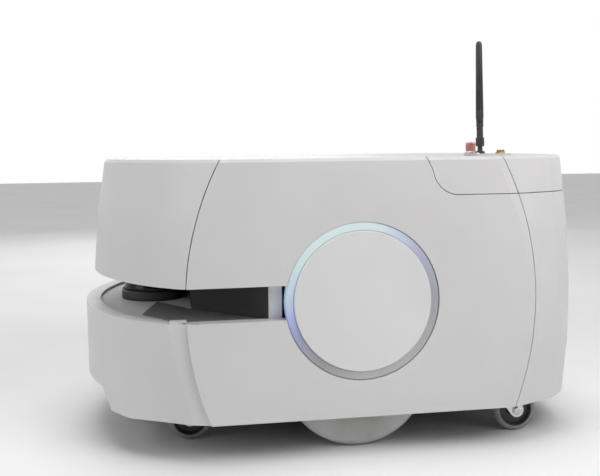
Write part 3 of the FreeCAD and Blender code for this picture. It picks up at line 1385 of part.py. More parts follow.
# ---------------------------------------------------------------- checks and files
doc.recompute()
pieces = [o for o in doc.Objects if o.TypeId == "PartDesign::Body" or o.TypeId == "Part::Feature"]
for piece in doc.Objects:
    if "Invalid" in piece.State or "Error" in piece.State:
        raise RuntimeError(piece.Label + " did not compute")
os.makedirs("parts", exist_ok=True)
for piece in pieces:
    if piece.Shape.isNull() or not piece.Shape.isValid():
        raise RuntimeError(piece.Label + " has no valid shape")
    piece.Shape.exportStep("parts/" + piece.Label + ".step")
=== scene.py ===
import math

import bmesh
import bpy
from mathutils import Matrix, Vector


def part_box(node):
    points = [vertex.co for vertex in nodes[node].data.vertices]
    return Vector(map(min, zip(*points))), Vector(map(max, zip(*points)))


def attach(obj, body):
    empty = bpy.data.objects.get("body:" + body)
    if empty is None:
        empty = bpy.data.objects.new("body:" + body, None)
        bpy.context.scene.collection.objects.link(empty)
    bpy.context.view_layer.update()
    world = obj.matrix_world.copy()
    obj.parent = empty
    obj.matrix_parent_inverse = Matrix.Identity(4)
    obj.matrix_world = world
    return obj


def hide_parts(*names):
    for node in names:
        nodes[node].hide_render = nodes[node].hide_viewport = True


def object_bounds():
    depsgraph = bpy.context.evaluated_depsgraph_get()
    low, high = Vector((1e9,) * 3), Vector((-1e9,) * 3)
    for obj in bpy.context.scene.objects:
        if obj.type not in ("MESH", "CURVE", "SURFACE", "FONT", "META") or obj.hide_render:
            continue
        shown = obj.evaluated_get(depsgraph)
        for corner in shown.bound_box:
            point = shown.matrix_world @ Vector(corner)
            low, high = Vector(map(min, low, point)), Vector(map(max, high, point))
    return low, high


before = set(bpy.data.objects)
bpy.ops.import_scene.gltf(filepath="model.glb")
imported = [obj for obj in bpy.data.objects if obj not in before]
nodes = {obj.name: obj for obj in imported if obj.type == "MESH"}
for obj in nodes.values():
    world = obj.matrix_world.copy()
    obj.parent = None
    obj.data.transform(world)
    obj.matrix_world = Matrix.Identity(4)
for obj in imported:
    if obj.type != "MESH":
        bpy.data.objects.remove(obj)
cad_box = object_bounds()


# ---------------------------------------------------------------- moulded covers
# Hood, bumper, two flanks, tail and its lid panels. Each is a 3 mm vacuum-formed ABS shell in
# one warm white, finely textured, with a 1 mm break along every cut edge. They hang on
# brackets of the chassis, and the bumper slides on its own two rods.


def finish(name, colour, roughness, metal=0.0, coat=0.0, specular=0.5):
    """New procedural finish: returns the material, its node tree and its shader."""
    material = bpy.data.materials.new(name)
    material.use_nodes = True
    tree = material.node_tree
    shader = tree.nodes["Principled BSDF"]
    shader.inputs["Base Color"].default_value = (*colour, 1)
    shader.inputs["Roughness"].default_value = roughness
    shader.inputs["Metallic"].default_value = metal
    shader.inputs["Coat Weight"].default_value = coat
    shader.inputs["Specular IOR Level"].default_value = specular
    return material, tree, shader


def noise(tree, scale, detail=4.0, stretch=(1, 1, 1)):
    """Noise in the piece's own coordinates; scale is in grains per metre."""
    place = tree.nodes.new("ShaderNodeTexCoord")
    shape = tree.nodes.new("ShaderNodeMapping")
    shape.inputs["Scale"].default_value = stretch
    grain = tree.nodes.new("ShaderNodeTexNoise")
    grain.inputs["Scale"].default_value = scale
    grain.inputs["Detail"].default_value = detail
    tree.links.new(place.outputs["Object"], shape.inputs["Vector"])
    tree.links.new(shape.outputs["Vector"], grain.inputs["Vector"])
    return grain.outputs["Fac"]


def spread(tree, value, low, high, start=0.3, end=0.7):
    """Maps a noise value onto a range."""
    ramp = tree.nodes.new("ShaderNodeMapRange")
    ramp.inputs["From Min"].default_value = start
    ramp.inputs["From Max"].default_value = end
    ramp.inputs["To Min"].default_value = low
    ramp.inputs["To Max"].default_value = high
    tree.links.new(value, ramp.inputs["Value"])
    return ramp.outputs["Result"]


def mottle(tree, shader, dark, light, value, start=0.3, end=0.7):
    """Colour that drifts between two near tones with the value."""
    ramp = tree.nodes.new("ShaderNodeValToRGB")
    ramp.color_ramp.elements[0].position = start
    ramp.color_ramp.elements[0].color = (*dark, 1)
    ramp.color_ramp.elements[1].position = end
    ramp.color_ramp.elements[1].color = (*light, 1)
    tree.links.new(value, ramp.inputs["Fac"])
    tree.links.new(ramp.outputs["Color"], shader.inputs["Base Color"])


def relief(tree, shader, value, depth, strength=0.5):
    """Bump of the given depth in metres."""
    bump = tree.nodes.new("ShaderNodeBump")
    bump.inputs["Distance"].default_value = depth
    bump.inputs["Strength"].default_value = strength
    tree.links.new(value, bump.inputs["Height"])
    tree.links.new(bump.outputs["Normal"], shader.inputs["Normal"])


def moulded_plastic(name, dark, light, roughness=0.5):
    """Textured moulding: pebbled relief, slow drift in tone, handling marks in the gloss."""
    material, tree, shader = finish(name, light, roughness, coat=0.05)
    mottle(tree, shader, dark, light, noise(tree, 7.0, 3.0))
    rough = spread(tree, noise(tree, 16.0, 6.0), roughness - 0.06, roughness + 0.08)
    tree.links.new(rough, shader.inputs["Roughness"])
    relief(tree, shader, noise(tree, 1400.0, 2.0), 0.00012, 0.35)
    return material


def dress(node, material, edge=0.0006, angle=28):
    """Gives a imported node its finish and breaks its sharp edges; width 0 leaves them sharp."""
    piece = nodes[node]
    piece.data.materials.clear()
    piece.data.materials.append(material)
    for polygon in piece.data.polygons:
        polygon.use_smooth = True
    if edge:
        weld = piece.modifiers.new("join_faces", "WELD")
        weld.merge_threshold = 0.000004
        bevel = piece.modifiers.new("broken_edge", "BEVEL")
        bevel.width = edge
        bevel.segments = 2
        bevel.limit_method = "ANGLE"
        bevel.angle_limit = math.radians(angle)
        bevel.use_clamp_overlap = True
        bevel.miter_outer = "MITER_ARC"
    normals = piece.modifiers.new("even_shading", "WEIGHTED_NORMAL")
    normals.weight = 60
    normals.keep_sharp = True


cover_white = moulded_plastic("cover_white", (0.585, 0.575, 0.575), (0.625, 0.615, 0.615))
for cover in ("front_hood", "front_bumper", "left_side_skin", "right_side_skin", "rear_skin",
              "left_access_panel", "right_access_panel", "rear_top_cover"):
    dress(cover, cover_white, 0.0004, 9)


# ---------------------------------------------------------------- payload deck
# One machined aluminium plate with a pale powder coat, seated on the frame flanges inside the
# covers' rim. Flush socket screws hold it, and its load holes are tapped.

deck_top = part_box("payload_deck")[1].z


def powder_coat(name, dark, light, roughness, depth=0.00009):
    """Powder coat: orange peel in the relief, and a faint cloudiness in the tone."""
    material, tree, shader = finish(name, light, roughness)
    mottle(tree, shader, dark, light, noise(tree, 22.0, 5.0))
    relief(tree, shader, noise(tree, 620.0, 2.0), depth, 0.5)
    rough = spread(tree, noise(tree, 60.0, 3.0), roughness - 0.05, roughness + 0.07)
    tree.links.new(rough, shader.inputs["Roughness"])
    return material


def machined(name, colour, roughness=0.3, stretch=(1, 1, 1), lines=900.0):
    """Bare metal with fine tool marks that run along the axis left unstretched."""
    material, tree, shader = finish(name, colour, roughness, metal=1.0)
    marks = noise(tree, lines, 3.0, stretch)
    rough = spread(tree, marks, roughness - 0.08, roughness + 0.12)
    tree.links.new(rough, shader.inputs["Roughness"])
    relief(tree, shader, marks, 0.00004, 0.4)
    darker = tuple(c * 0.86 for c in colour)
    mottle(tree, shader, darker, colour, noise(tree, 45.0, 4.0))
    return material


def new_piece(name, mesh, materials, crease=32):
    """Object from a bmesh, smooth except where its faces meet at more than the crease."""
    data = bpy.data.meshes.new(name)
    bmesh.ops.recalc_face_normals(mesh, faces=mesh.faces)
    mesh.to_mesh(data)
    mesh.free()
    for material in materials:
        data.materials.append(material)
    data.shade_smooth()
    data.set_sharp_from_angle(angle=math.radians(crease))
    piece = bpy.data.objects.new(name, data)
    bpy.context.scene.collection.objects.link(piece)
    return piece


def turn(mesh, profile, centre, axis="Z", steps=48, slots=None, hole=False):
    """Adds a turned form: profile holds (distance along the axis, radius), inner end first."""
    rings = []
    for along, radius in profile:
        ring = []
        for k in range(steps):
            angle = 2 * math.pi * k / steps
            a, b = radius * math.cos(angle), radius * math.sin(angle)
            spot = {"X": (along, a, b), "Y": (b, along, a), "Z": (a, b, along)}[axis]
            ring.append(mesh.verts.new(Vector(centre) + Vector(spot)))
        rings.append(ring)
    pairs = list(zip(rings, rings[1:]))
    if hole:
        pairs.append((rings[-1], rings[0]))
    for index, (low, high) in enumerate(pairs):
        for k in range(steps):
            after = (k + 1) % steps
            face = mesh.faces.new((low[k], low[after], high[after], high[k]))
            face.material_index = slots[index] if slots else 0
    if not hole:
        for ring in (rings[0], rings[-1]):
            face = mesh.faces.new(ring)
            face.material_index = slots[0 if ring is rings[0] else -1] if slots else 0


deck_coat = powder_coat("deck_coat", (0.50, 0.49, 0.485), (0.56, 0.55, 0.545), 0.45)
zinc = machined("zinc_plate", (0.62, 0.63, 0.65), 0.28)
dress("payload_deck", deck_coat, 0)

screws = bmesh.new()
screw_low, screw_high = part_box("deck_screws")
head, socket_radius, socket_depth, inset = 0.0054, 0.0022, 0.0016, 0.0055
rows = [screw_low.x + inset + k * (screw_high.x - screw_low.x - 2 * inset) / 2 for k in range(3)]
for x in rows:
    for y in (screw_low.y + inset, screw_high.y - inset):
        turn(screws, [(screw_low.z, 0.003), (deck_top - 0.003, 0.003), (deck_top - 0.003, head),
                      (deck_top - 0.0005, head), (deck_top - 0.0001, head - 0.0004),
                      (deck_top - 0.0001, socket_radius * 1.05),
                      (deck_top - socket_depth, socket_radius)], (x, y, 0), steps=30)
screws = new_piece("flush_socket_screws", screws, [zinc])
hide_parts("deck_screws")
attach(screws, "chassis")


# ---------------------------------------------------------------- side lights
# Each flank has a frosted light guide in a ring round a flat satin disc. The guide is lit from
# its front end, so it glows mint white there and fades through periwinkle to plain grey. Its grey
# base colour carries painted shade: darker below the front end and at the tail end.


def glow_guide(name, centre):
    """Frosted plastic light guide: its glow follows the angle round the ring's centre, and so does
    its base colour, which holds painted shade: darker below the front end and at the tail end, where
    the recess shades the guide.
    """
    material, tree, shader = finish(name, (0.54, 0.54, 0.56), 0.36)
    links, make = tree.links, tree.nodes.new
    place = make("ShaderNodeTexCoord")
    split = make("ShaderNodeSeparateXYZ")
    links.new(place.outputs["Object"], split.inputs["Vector"])
    offsets = []
    for axis, value in (("Z", centre.z), ("X", centre.x)):
        less = make("ShaderNodeMath")
        less.operation = "SUBTRACT"
        less.inputs[1].default_value = value
        links.new(split.outputs[axis], less.inputs[0])
        offsets.append(less.outputs[0])
    angle = make("ShaderNodeMath")
    angle.operation = "ARCTAN2"
    links.new(offsets[0], angle.inputs[0])
    links.new(offsets[1], angle.inputs[1])
    turned = make("ShaderNodeMapRange")
    turned.inputs["From Min"].default_value = -math.pi
    turned.inputs["From Max"].default_value = math.pi
    links.new(angle.outputs[0], turned.inputs["Value"])
    glow = [(0.00, (0.0, 0.0, 0.01)), (0.06, (0.0, 0.0, 0.0)), (0.36, (0.0, 0.0, 0.0)),
            (0.42, (0.01, 0.02, 0.20)), (0.465, (0.03, 0.11, 0.46)), (0.51, (0.10, 0.26, 0.42)),
            (0.58, (0.20, 0.38, 0.38)), (0.69, (0.26, 0.42, 0.40)), (0.78, (0.20, 0.37, 0.36)),
            (0.83, (0.11, 0.20, 0.34)), (0.88, (0.03, 0.06, 0.22)), (1.00, (0.0, 0.0, 0.01))]
    # Base colour with painted shade: darker below the front end (0.35 to 0.43) and at the tail end
    # (near 0 and 1), where the recess shades the guide.
    guide_painted_shade = [(0.00, (0.36, 0.36, 0.38)), (0.12, (0.44, 0.44, 0.45)), (0.26, (0.45, 0.45, 0.46)),
               (0.35, (0.33, 0.33, 0.35)), (0.43, (0.34, 0.34, 0.36)), (0.52, (0.47, 0.47, 0.49)),
               (0.62, (0.54, 0.54, 0.56)), (0.80, (0.54, 0.54, 0.56)), (0.91, (0.41, 0.41, 0.43)),
               (1.00, (0.36, 0.36, 0.38))]
    for stops, socket in ((glow, "Emission Color"), (guide_painted_shade, "Base Color")):
        tones = make("ShaderNodeValToRGB")
        tones.color_ramp.elements.remove(tones.color_ramp.elements[1])
        first = tones.color_ramp.elements[0]
        first.position, first.color = stops[0][0], (*stops[0][1], 1)
        for position, tone in stops[1:]:
            stop = tones.color_ramp.elements.new(position)
            stop.color = (*tone, 1)
        links.new(turned.outputs["Result"], tones.inputs["Fac"])
        links.new(tones.outputs["Color"], shader.inputs[socket])
    shader.inputs["Emission Strength"].default_value = 0.62
    relief(tree, shader, noise(tree, 900.0, 2.0), 0.00005, 0.3)
    rough = spread(tree, noise(tree, 40.0, 3.0), 0.27, 0.4)
    links.new(rough, shader.inputs["Roughness"])
    return material


disc_satin = moulded_plastic("disc_satin", (0.64, 0.635, 0.64), (0.69, 0.685, 0.69), 0.42)
for side in ("left", "right"):
    ring_low, ring_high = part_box(side + "_light_ring")
    guide = glow_guide(side + "_light_guide", (ring_low + ring_high) / 2)
    dress(side + "_light_ring", guide, 0.0005)
    dress(side + "_light_disc", disc_satin, 0.0006)


# ---------------------------------------------------------------- scanner slot
# The slot through the nose is lined by one folded tray: pale grey floor and ends, black walls
# between. Dark ribbed rubber mats lie on the floor, clear of the scanner's field of view.


def slot_lining():
    """Grey paint on the floor and on the two outer ends, matt black on the walls between."""
    material, tree, shader = finish("slot_lining", (0.6, 0.6, 0.62), 0.6)
    place = tree.nodes.new("ShaderNodeTexCoord")
    split = tree.nodes.new("ShaderNodeSeparateXYZ")
    tree.links.new(place.outputs["Object"], split.inputs["Vector"])
    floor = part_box("slot_mats")[0].z + 0.0002
    above = spread(tree, split.outputs["Z"], 0.0, 1.0, floor, floor + 0.0002)
    across = tree.nodes.new("ShaderNodeMath")
    across.operation = "ABSOLUTE"
    tree.links.new(split.outputs["Y"], across.inputs[0])
    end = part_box("slot_tray")[1].y - 0.006
    within = spread(tree, across.outputs[0], 1.0, 0.0, end, end + 0.0004)
    walls = tree.nodes.new("ShaderNodeMath")
    walls.operation = "MULTIPLY"
    tree.links.new(above, walls.inputs[0])
    tree.links.new(within, walls.inputs[1])
    height = walls.outputs[0]
    paints = []
    for dark, light in (((0.70, 0.70, 0.72), (0.76, 0.76, 0.78)),
                        ((0.012, 0.011, 0.012), (0.020, 0.018, 0.019))):
        ramp = tree.nodes.new("ShaderNodeValToRGB")
        ramp.color_ramp.elements[0].color = (*dark, 1)
        ramp.color_ramp.elements[1].color = (*light, 1)
        tree.links.new(noise(tree, 30.0), ramp.inputs["Fac"])
        paints.append(ramp.outputs["Color"])
    blend = tree.nodes.new("ShaderNodeMix")
    blend.data_type = "RGBA"
    tree.links.new(height, blend.inputs["Factor"])
    tree.links.new(paints[0], blend.inputs[6])
    tree.links.new(paints[1], blend.inputs[7])
    tree.links.new(blend.outputs[2], shader.inputs["Base Color"])
    relief(tree, shader, noise(tree, 700.0, 2.0), 0.0001, 0.5)
    return material


def ribbed_rubber():
    """Dark mat with fine ribs along its length and dust in its pores."""
    material, tree, shader = finish("ribbed_rubber", (0.17, 0.162, 0.165), 0.62)
    mottle(tree, shader, (0.15, 0.142, 0.145), (0.20, 0.191, 0.195), noise(tree, 90.0, 6.0))
    place = tree.nodes.new("ShaderNodeTexCoord")
    ribs = tree.nodes.new("ShaderNodeTexWave")
    ribs.bands_direction = "Y"
    ribs.inputs["Scale"].default_value = 120.0
    ribs.inputs["Distortion"].default_value = 0.4
    tree.links.new(place.outputs["Object"], ribs.inputs["Vector"])
    relief(tree, shader, ribs.outputs["Fac"], 0.0003, 0.5)
    return material


dress("slot_tray", slot_lining(), 0.0005)
dress("slot_mats", ribbed_rubber(), 0.0003)


# ---------------------------------------------------------------- laser scanner
# Safety scanner: a cast block on the front carrier, a round black neck with a lip, and a dark
# glossy window that narrows to a waist under its flat cap.

window_low, window_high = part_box("laser_scanner_window")
scanner_at = ((window_low.x + window_high.x) / 2, 0, 0)


def matt_black(name, tone=0.018, roughness=0.48):
    """Black moulding with a fine spark-eroded grain."""
    material, tree, shader = finish(name, (tone, tone, tone * 1.05), roughness)
    mottle(tree, shader, (tone * 0.8,) * 3, (tone * 1.5,) * 3, noise(tree, 50.0, 5.0))
    relief(tree, shader, noise(tree, 1500.0, 2.0), 0.00008, 0.5)
    rough = spread(tree, noise(tree, 25.0, 3.0), roughness - 0.08, roughness + 0.1)
    tree.links.new(rough, shader.inputs["Roughness"])
    return material


def infrared_window():
    """Gloss filter plastic, nearly black, with faint wipe marks."""
    material, tree, shader = finish("infrared_window", (0.010, 0.009, 0.011), 0.12, specular=0.15)
    wipes = spread(tree, noise(tree, 35.0, 5.0, (1, 1, 0.2)), 0.08, 0.24)
    tree.links.new(wipes, shader.inputs["Roughness"])
    mottle(tree, shader, (0.008, 0.007, 0.009), (0.016, 0.013, 0.016), noise(tree, 20.0))
    return material


scanner_black = matt_black("scanner_black")
dress("laser_scanner_body", scanner_black, 0.0008)
cap_radius = (window_high.x - window_low.x) / 2
seat = window_low.z
cap = window_high.z
window = bmesh.new()
turn(window, [(seat, 0.0448), (seat + 0.001, 0.0456), (seat + 0.004, 0.0453),
              (seat + 0.010, 0.0432), (seat + 0.016, 0.0412), (seat + 0.0205, 0.0402),
              (seat + 0.0220, 0.0402), (seat + 0.0232, 0.0412), (seat + 0.0245, 0.0440),
              (seat + 0.0256, cap_radius - 0.0006), (seat + 0.0265, cap_radius),
              (cap - 0.0022, cap_radius), (cap - 0.0008, cap_radius - 0.0008),
              (cap, cap_radius - 0.0024), (cap, 0.030), (cap - 0.0005, 0.0295),
              (cap - 0.0005, 0.004)], scanner_at, steps=96,
     slots=[0, 0, 0, 0, 0, 0, 0, 0, 0, 1, 1, 1, 1, 1, 1, 1])
window = new_piece("scanner_window", window, [infrared_window(), scanner_black], 40)
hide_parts("laser_scanner_window")
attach(window, "chassis")


# ---------------------------------------------------------------- service plate and fittings
# A white plate covers the cable opening at the rear corner of the deck. It carries a red
# bulkhead cap on a steel base, a brass connector, and the socket of the antenna.

plate_low, plate_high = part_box("service_plate")
plate_top = plate_high.z
dress("service_plate", cover_white, 0.0004)
turned_brass = machined("turned_brass", (0.56, 0.43, 0.19), 0.28)
antenna_black = matt_black("antenna_black", 0.014, 0.42)


def hexagonal(mesh, radius, low, high, centre, slot=0):
    """Adds a hexagon nut whose corners are turned off at both ends."""
    trim = (high - low) * 0.16
    rings = []
    for level, reach in ((low, 0.93), (low + trim, 1.0), (high - trim, 1.0), (high, 0.93)):
        ring = [mesh.verts.new(Vector(centre) + Vector((radius * reach * math.cos(k * math.pi / 3),
                                                        radius * reach * math.sin(k * math.pi / 3),
                                                        level))) for k in range(6)]
        rings.append(ring)
    for below, above in zip(rings, rings[1:]):
        for k in range(6):
            after = (k + 1) % 6
            mesh.faces.new((below[k], below[after], above[after], above[k])).material_index = slot
    for ring in (rings[0], rings[-1]):
        mesh.faces.new(ring).material_index = slot


def salmon_cap():
    """Moulded red cap, slightly faded, with a soft gloss."""
    material, tree, shader = finish("salmon_cap", (0.60, 0.24, 0.19), 0.34, coat=0.2)
    mottle(tree, shader, (0.54, 0.21, 0.165), (0.65, 0.28, 0.225), noise(tree, 160.0))
    relief(tree, shader, noise(tree, 1800.0, 2.0), 0.00005, 0.4)
    return material


cap_low, cap_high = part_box("red_fitting")
cap_at = ((cap_low.x + cap_high.x) / 2, (cap_low.y + cap_high.y) / 2, 0)
red = bmesh.new()
ridges = [(plate_top, 0.0079), (plate_top + 0.0004, 0.0080), (plate_top + 0.0026, 0.0080),
          (plate_top + 0.0030, 0.0076), (plate_top + 0.0030, 0.0066)]
level = plate_top + 0.0032
red_from = len(ridges) - 1
while level < cap_high.z - 0.0035:
    ridges += [(level, 0.0069), (level + 0.0012, 0.0070), (level + 0.0014, 0.0067),
               (level + 0.0018, 0.0067)]
    level += 0.0020
ridges += [(cap_high.z - 0.0028, 0.0070), (cap_high.z - 0.0010, 0.0064),
           (cap_high.z - 0.0002, 0.0050), (cap_high.z - 0.0002, 0.0012)]
turn(red, ridges, cap_at, steps=40,
     slots=[1 if k < red_from else 0 for k in range(len(ridges) - 1)])
red = new_piece("red_cap_fitting", red, [salmon_cap(), zinc])
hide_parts("red_fitting")
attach(red, "chassis")

plug_low, plug_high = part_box("cable_connector")
plug_at = ((plug_low.x + plug_high.x) / 2, (plug_low.y + plug_high.y) / 2, 0)
plug = bmesh.new()
hexagonal(plug, 0.0069, plate_top, plate_top + 0.0022, plug_at)
thread = [(plate_top + 0.0020, 0.0055)]
for k in range(5):
    thread += [(plate_top + 0.0023 + k * 0.0005, 0.0055), (plate_top + 0.00255 + k * 0.0005, 0.0051)]
thread += [(plug_high.z - 0.0004, 0.0054), (plug_high.z, 0.0050), (plug_high.z, 0.0037),
           (plate_top + 0.0031, 0.0035), (plate_top + 0.0031, 0.0008)]
turn(plug, thread, plug_at, steps=40)
plug = new_piece("brass_connector", plug, [turned_brass])
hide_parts("cable_connector")
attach(plug, "chassis")

heads = bmesh.new()
for x, y in ((plate_low.x + 0.006, plate_low.y + 0.006),
             (plate_high.x - 0.005, plate_high.y - 0.005),
             (plate_low.x + 0.026, plate_high.y - 0.005)):
    turn(heads, [(plate_top - 0.0005, 0.0026), (plate_top + 0.0006, 0.0026),
                 (plate_top + 0.0012, 0.0021), (plate_top + 0.0014, 0.0013),
                 (plate_top + 0.0007, 0.0011), (plate_top + 0.0007, 0.0003)],
         (x, y, 0), steps=24)
heads = new_piece("service_plate_screws", heads, [zinc])
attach(heads, "chassis")


# ---------------------------------------------------------------- antenna
# Articulated whip: a socket bolted through the plate, a knurled nut that swivels on it, a
# forked knuckle with a pin, and a hollow moulded whip with a soft rounded tip.

socket_low, socket_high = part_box("antenna_socket")
swivel_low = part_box("antenna_swivel")[0]
whip_low, whip_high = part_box("antenna_whip")
mast = ((socket_low.x + socket_high.x) / 2, (socket_low.y + socket_high.y) / 2, 0)
dress("antenna_socket", antenna_black, 0.0003)
dress("antenna_swivel", antenna_black, 0.0003)
knurl = bmesh.new()
nut_low, nut_high, nut = swivel_low.z, swivel_low.z + 0.012, 0.00575
teeth = 48
levels = [(nut_low + 0.0007, nut - 0.0004), (nut_low + 0.0013, nut), (nut_high - 0.0013, nut),
          (nut_high - 0.0007, nut - 0.0004)]
rings = []
for level, reach in levels:
    rings.append([knurl.verts.new(Vector(mast) + Vector((
        (reach - (k % 2) * 0.00035) * math.cos(math.pi * k / teeth),
        (reach - (k % 2) * 0.00035) * math.sin(math.pi * k / teeth), level)))
        for k in range(2 * teeth)])
for below, above in zip(rings, rings[1:]):
    for k in range(2 * teeth):
        after = (k + 1) % (2 * teeth)
        knurl.faces.new((below[k], below[after], above[after], above[k]))
knurl.faces.new(rings[0])
knurl.faces.new(rings[-1])
knurl = new_piece("knurled_nut", knurl, [antenna_black], 20)
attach(knurl, "antenna_swivel")

dress("antenna_whip", antenna_black, 0.0003)
sleeve = bmesh.new()
foot = whip_low.z + 0.0112
turn(sleeve, [(foot + 0.0002, 0.0047), (foot + 0.004, 0.00515), (foot + 0.006, 0.0053),
              (foot + 0.0125, 0.0053), (foot + 0.0128, 0.0050), (foot + 0.0136, 0.0050),
              (foot + 0.0140, 0.0052), (whip_high.z - 0.006, 0.00435),
              (whip_high.z - 0.003, 0.0040), (whip_high.z - 0.0012, 0.0032),
              (whip_high.z - 0.0003, 0.0023)], mast, steps=40)
sleeve = new_piece("whip_sleeve", sleeve, [antenna_black], 40)
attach(sleeve, "antenna_whip")


# ---------------------------------------------------------------- chassis frames and brackets
# Laser-cut and folded steel with a dark powder coat: base plate, side frames, bulkheads and
# the two raised shelves that carry the casters.

frame_coat = powder_coat("frame_coat", (0.018, 0.019, 0.021), (0.030, 0.031, 0.034), 0.5)
for frame_part in ("base_plate", "left_side_frame", "right_side_frame", "front_bulkhead",
                   "rear_frame", "front_caster_carrier", "rear_caster_carrier"):
    dress(frame_part, frame_coat, 0.0003)


# ---------------------------------------------------------------- bumper beam and rods
# A foam-cored beam fills the nose of the bumper; its two steel rods slide in the carrier's
# posts, so the whole bumper gives way by a few millimetres.


def skinned_foam():
    """Dark integral-skin foam with open pores."""
    material, tree, shader = finish("skinned_foam", (0.05, 0.05, 0.052), 0.75)
    mottle(tree, shader, (0.036, 0.036, 0.038), (0.062, 0.062, 0.065), noise(tree, 120.0, 6.0))
    relief(tree, shader, noise(tree, 500.0, 3.0), 0.0003, 0.6)
    return material


dress("bumper_carrier", skinned_foam(), 0.0005)


# ---------------------------------------------------------------- drive units
# Each unit swings on a pivot pin: a machined arm carries the gearmotor inside and the wheel
# outside, and a square-wire spring presses it down. The tyre is cast pale polyurethane.


def cast_polyurethane():
    """Smooth pale tyre, a little dusty from the floor, scuffed round its tread."""
    material, tree, shader = finish("cast_polyurethane", (0.50, 0.50, 0.49), 0.46)
    mottle(tree, shader, (0.42, 0.42, 0.41), (0.53, 0.53, 0.52), noise(tree, 26.0, 6.0))
    rough = spread(tree, noise(tree, 70.0, 4.0), 0.38, 0.6)
    tree.links.new(rough, shader.inputs["Roughness"])
    relief(tree, shader, noise(tree, 420.0, 4.0), 0.00012, 0.5)
    return material


arm_metal = machined("milled_aluminium", (0.66, 0.67, 0.69), 0.34, (1, 1, 0.12), 700.0)
hub_metal = machined("turned_aluminium", (0.68, 0.69, 0.71), 0.26, (1, 0.15, 1), 900.0)
spring_steel = machined("spring_steel", (0.34, 0.35, 0.37), 0.36)
motor_coat = powder_coat("motor_coat", (0.010, 0.010, 0.011), (0.020, 0.020, 0.021), 0.4)
tyre_cast = cast_polyurethane()
for side in ("left", "right"):
    sign = 1 if side == "left" else -1
    dress(side + "_drive_arm", arm_metal, 0.0006)
    dress(side + "_gearmotor", motor_coat, 0.0006)
    dress(side + "_suspension_spring", spring_steel, 0)
    dress(side + "_wheel_hub", hub_metal, 0.0005)
    low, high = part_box(side + "_wheel_tyre")
    axle = ((low.x + high.x) / 2, 0, (low.z + high.z) / 2)
    radius = (high.x - low.x) / 2
    inner, outer = (low.y, high.y) if sign > 0 else (high.y, low.y)
    facing = 0.003
    shoulder = [(0.0, 0.900), (0.0006, 0.925), (0.0020, 0.952), (0.0042, 0.974),
                (0.0070, 0.989), (0.0100, 0.997), (0.0135, 0.9998)]
    profile = [(inner, radius * 0.842)]
    profile += [(inner + sign * d, radius * r) for d, r in shoulder]
    profile += [(outer - sign * d, radius * r) for d, r in reversed(shoulder)]
    profile += [(outer, radius * 0.60), (outer - sign * 0.0006, radius * 0.585),
                (outer - sign * 0.0006, radius * 0.535), (outer - sign * 0.0011, radius * 0.525),
                (outer - sign * facing, radius * 0.525), (outer - sign * facing, radius * 0.842)]
    tyre = bmesh.new()
    turn(tyre, profile, axle, axis="Y", steps=128, hole=True)
    tyre = new_piece(side + "_cast_tyre", tyre, [tyre_cast], 40)
    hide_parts(side + "_wheel_tyre")
    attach(tyre, side + "_wheel")
    bolts = bmesh.new()
    face = outer - sign * 0.0010
    bolt_circle, bolt_count = 0.034, 5
    for k in range(bolt_count):
        angle = 2 * math.pi * (k + 0.25) / bolt_count
        spot = (axle[0] + bolt_circle * math.cos(angle), 0,
                axle[2] + bolt_circle * math.sin(angle))
        turn(bolts, [(face - sign * 0.0006, 0.0050), (face + sign * 0.0004, 0.0050),
                     (face + sign * 0.0009, 0.0044), (face + sign * 0.0009, 0.0026),
                     (face - sign * 0.0003, 0.0024), (face - sign * 0.0003, 0.0005)], spot,
             axis="Y", steps=24)
    bolts = new_piece(side + "_hub_screws", bolts, [zinc])
    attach(bolts, side + "_wheel")


# ---------------------------------------------------------------- casters
# Four light swivel casters: a pressed zinc fork under a ball race, a grey non-marking tread
# moulded on a dark nylon core, and a bolt with its nut.


def tread_rubber():
    """Grey tread, matt, with floor dust worked into it."""
    material, tree, shader = finish("tread_rubber", (0.26, 0.26, 0.26), 0.66)
    mottle(tree, shader, (0.21, 0.21, 0.21), (0.31, 0.31, 0.305), noise(tree, 80.0, 6.0))
    relief(tree, shader, noise(tree, 600.0, 3.0), 0.00015, 0.5)
    return material


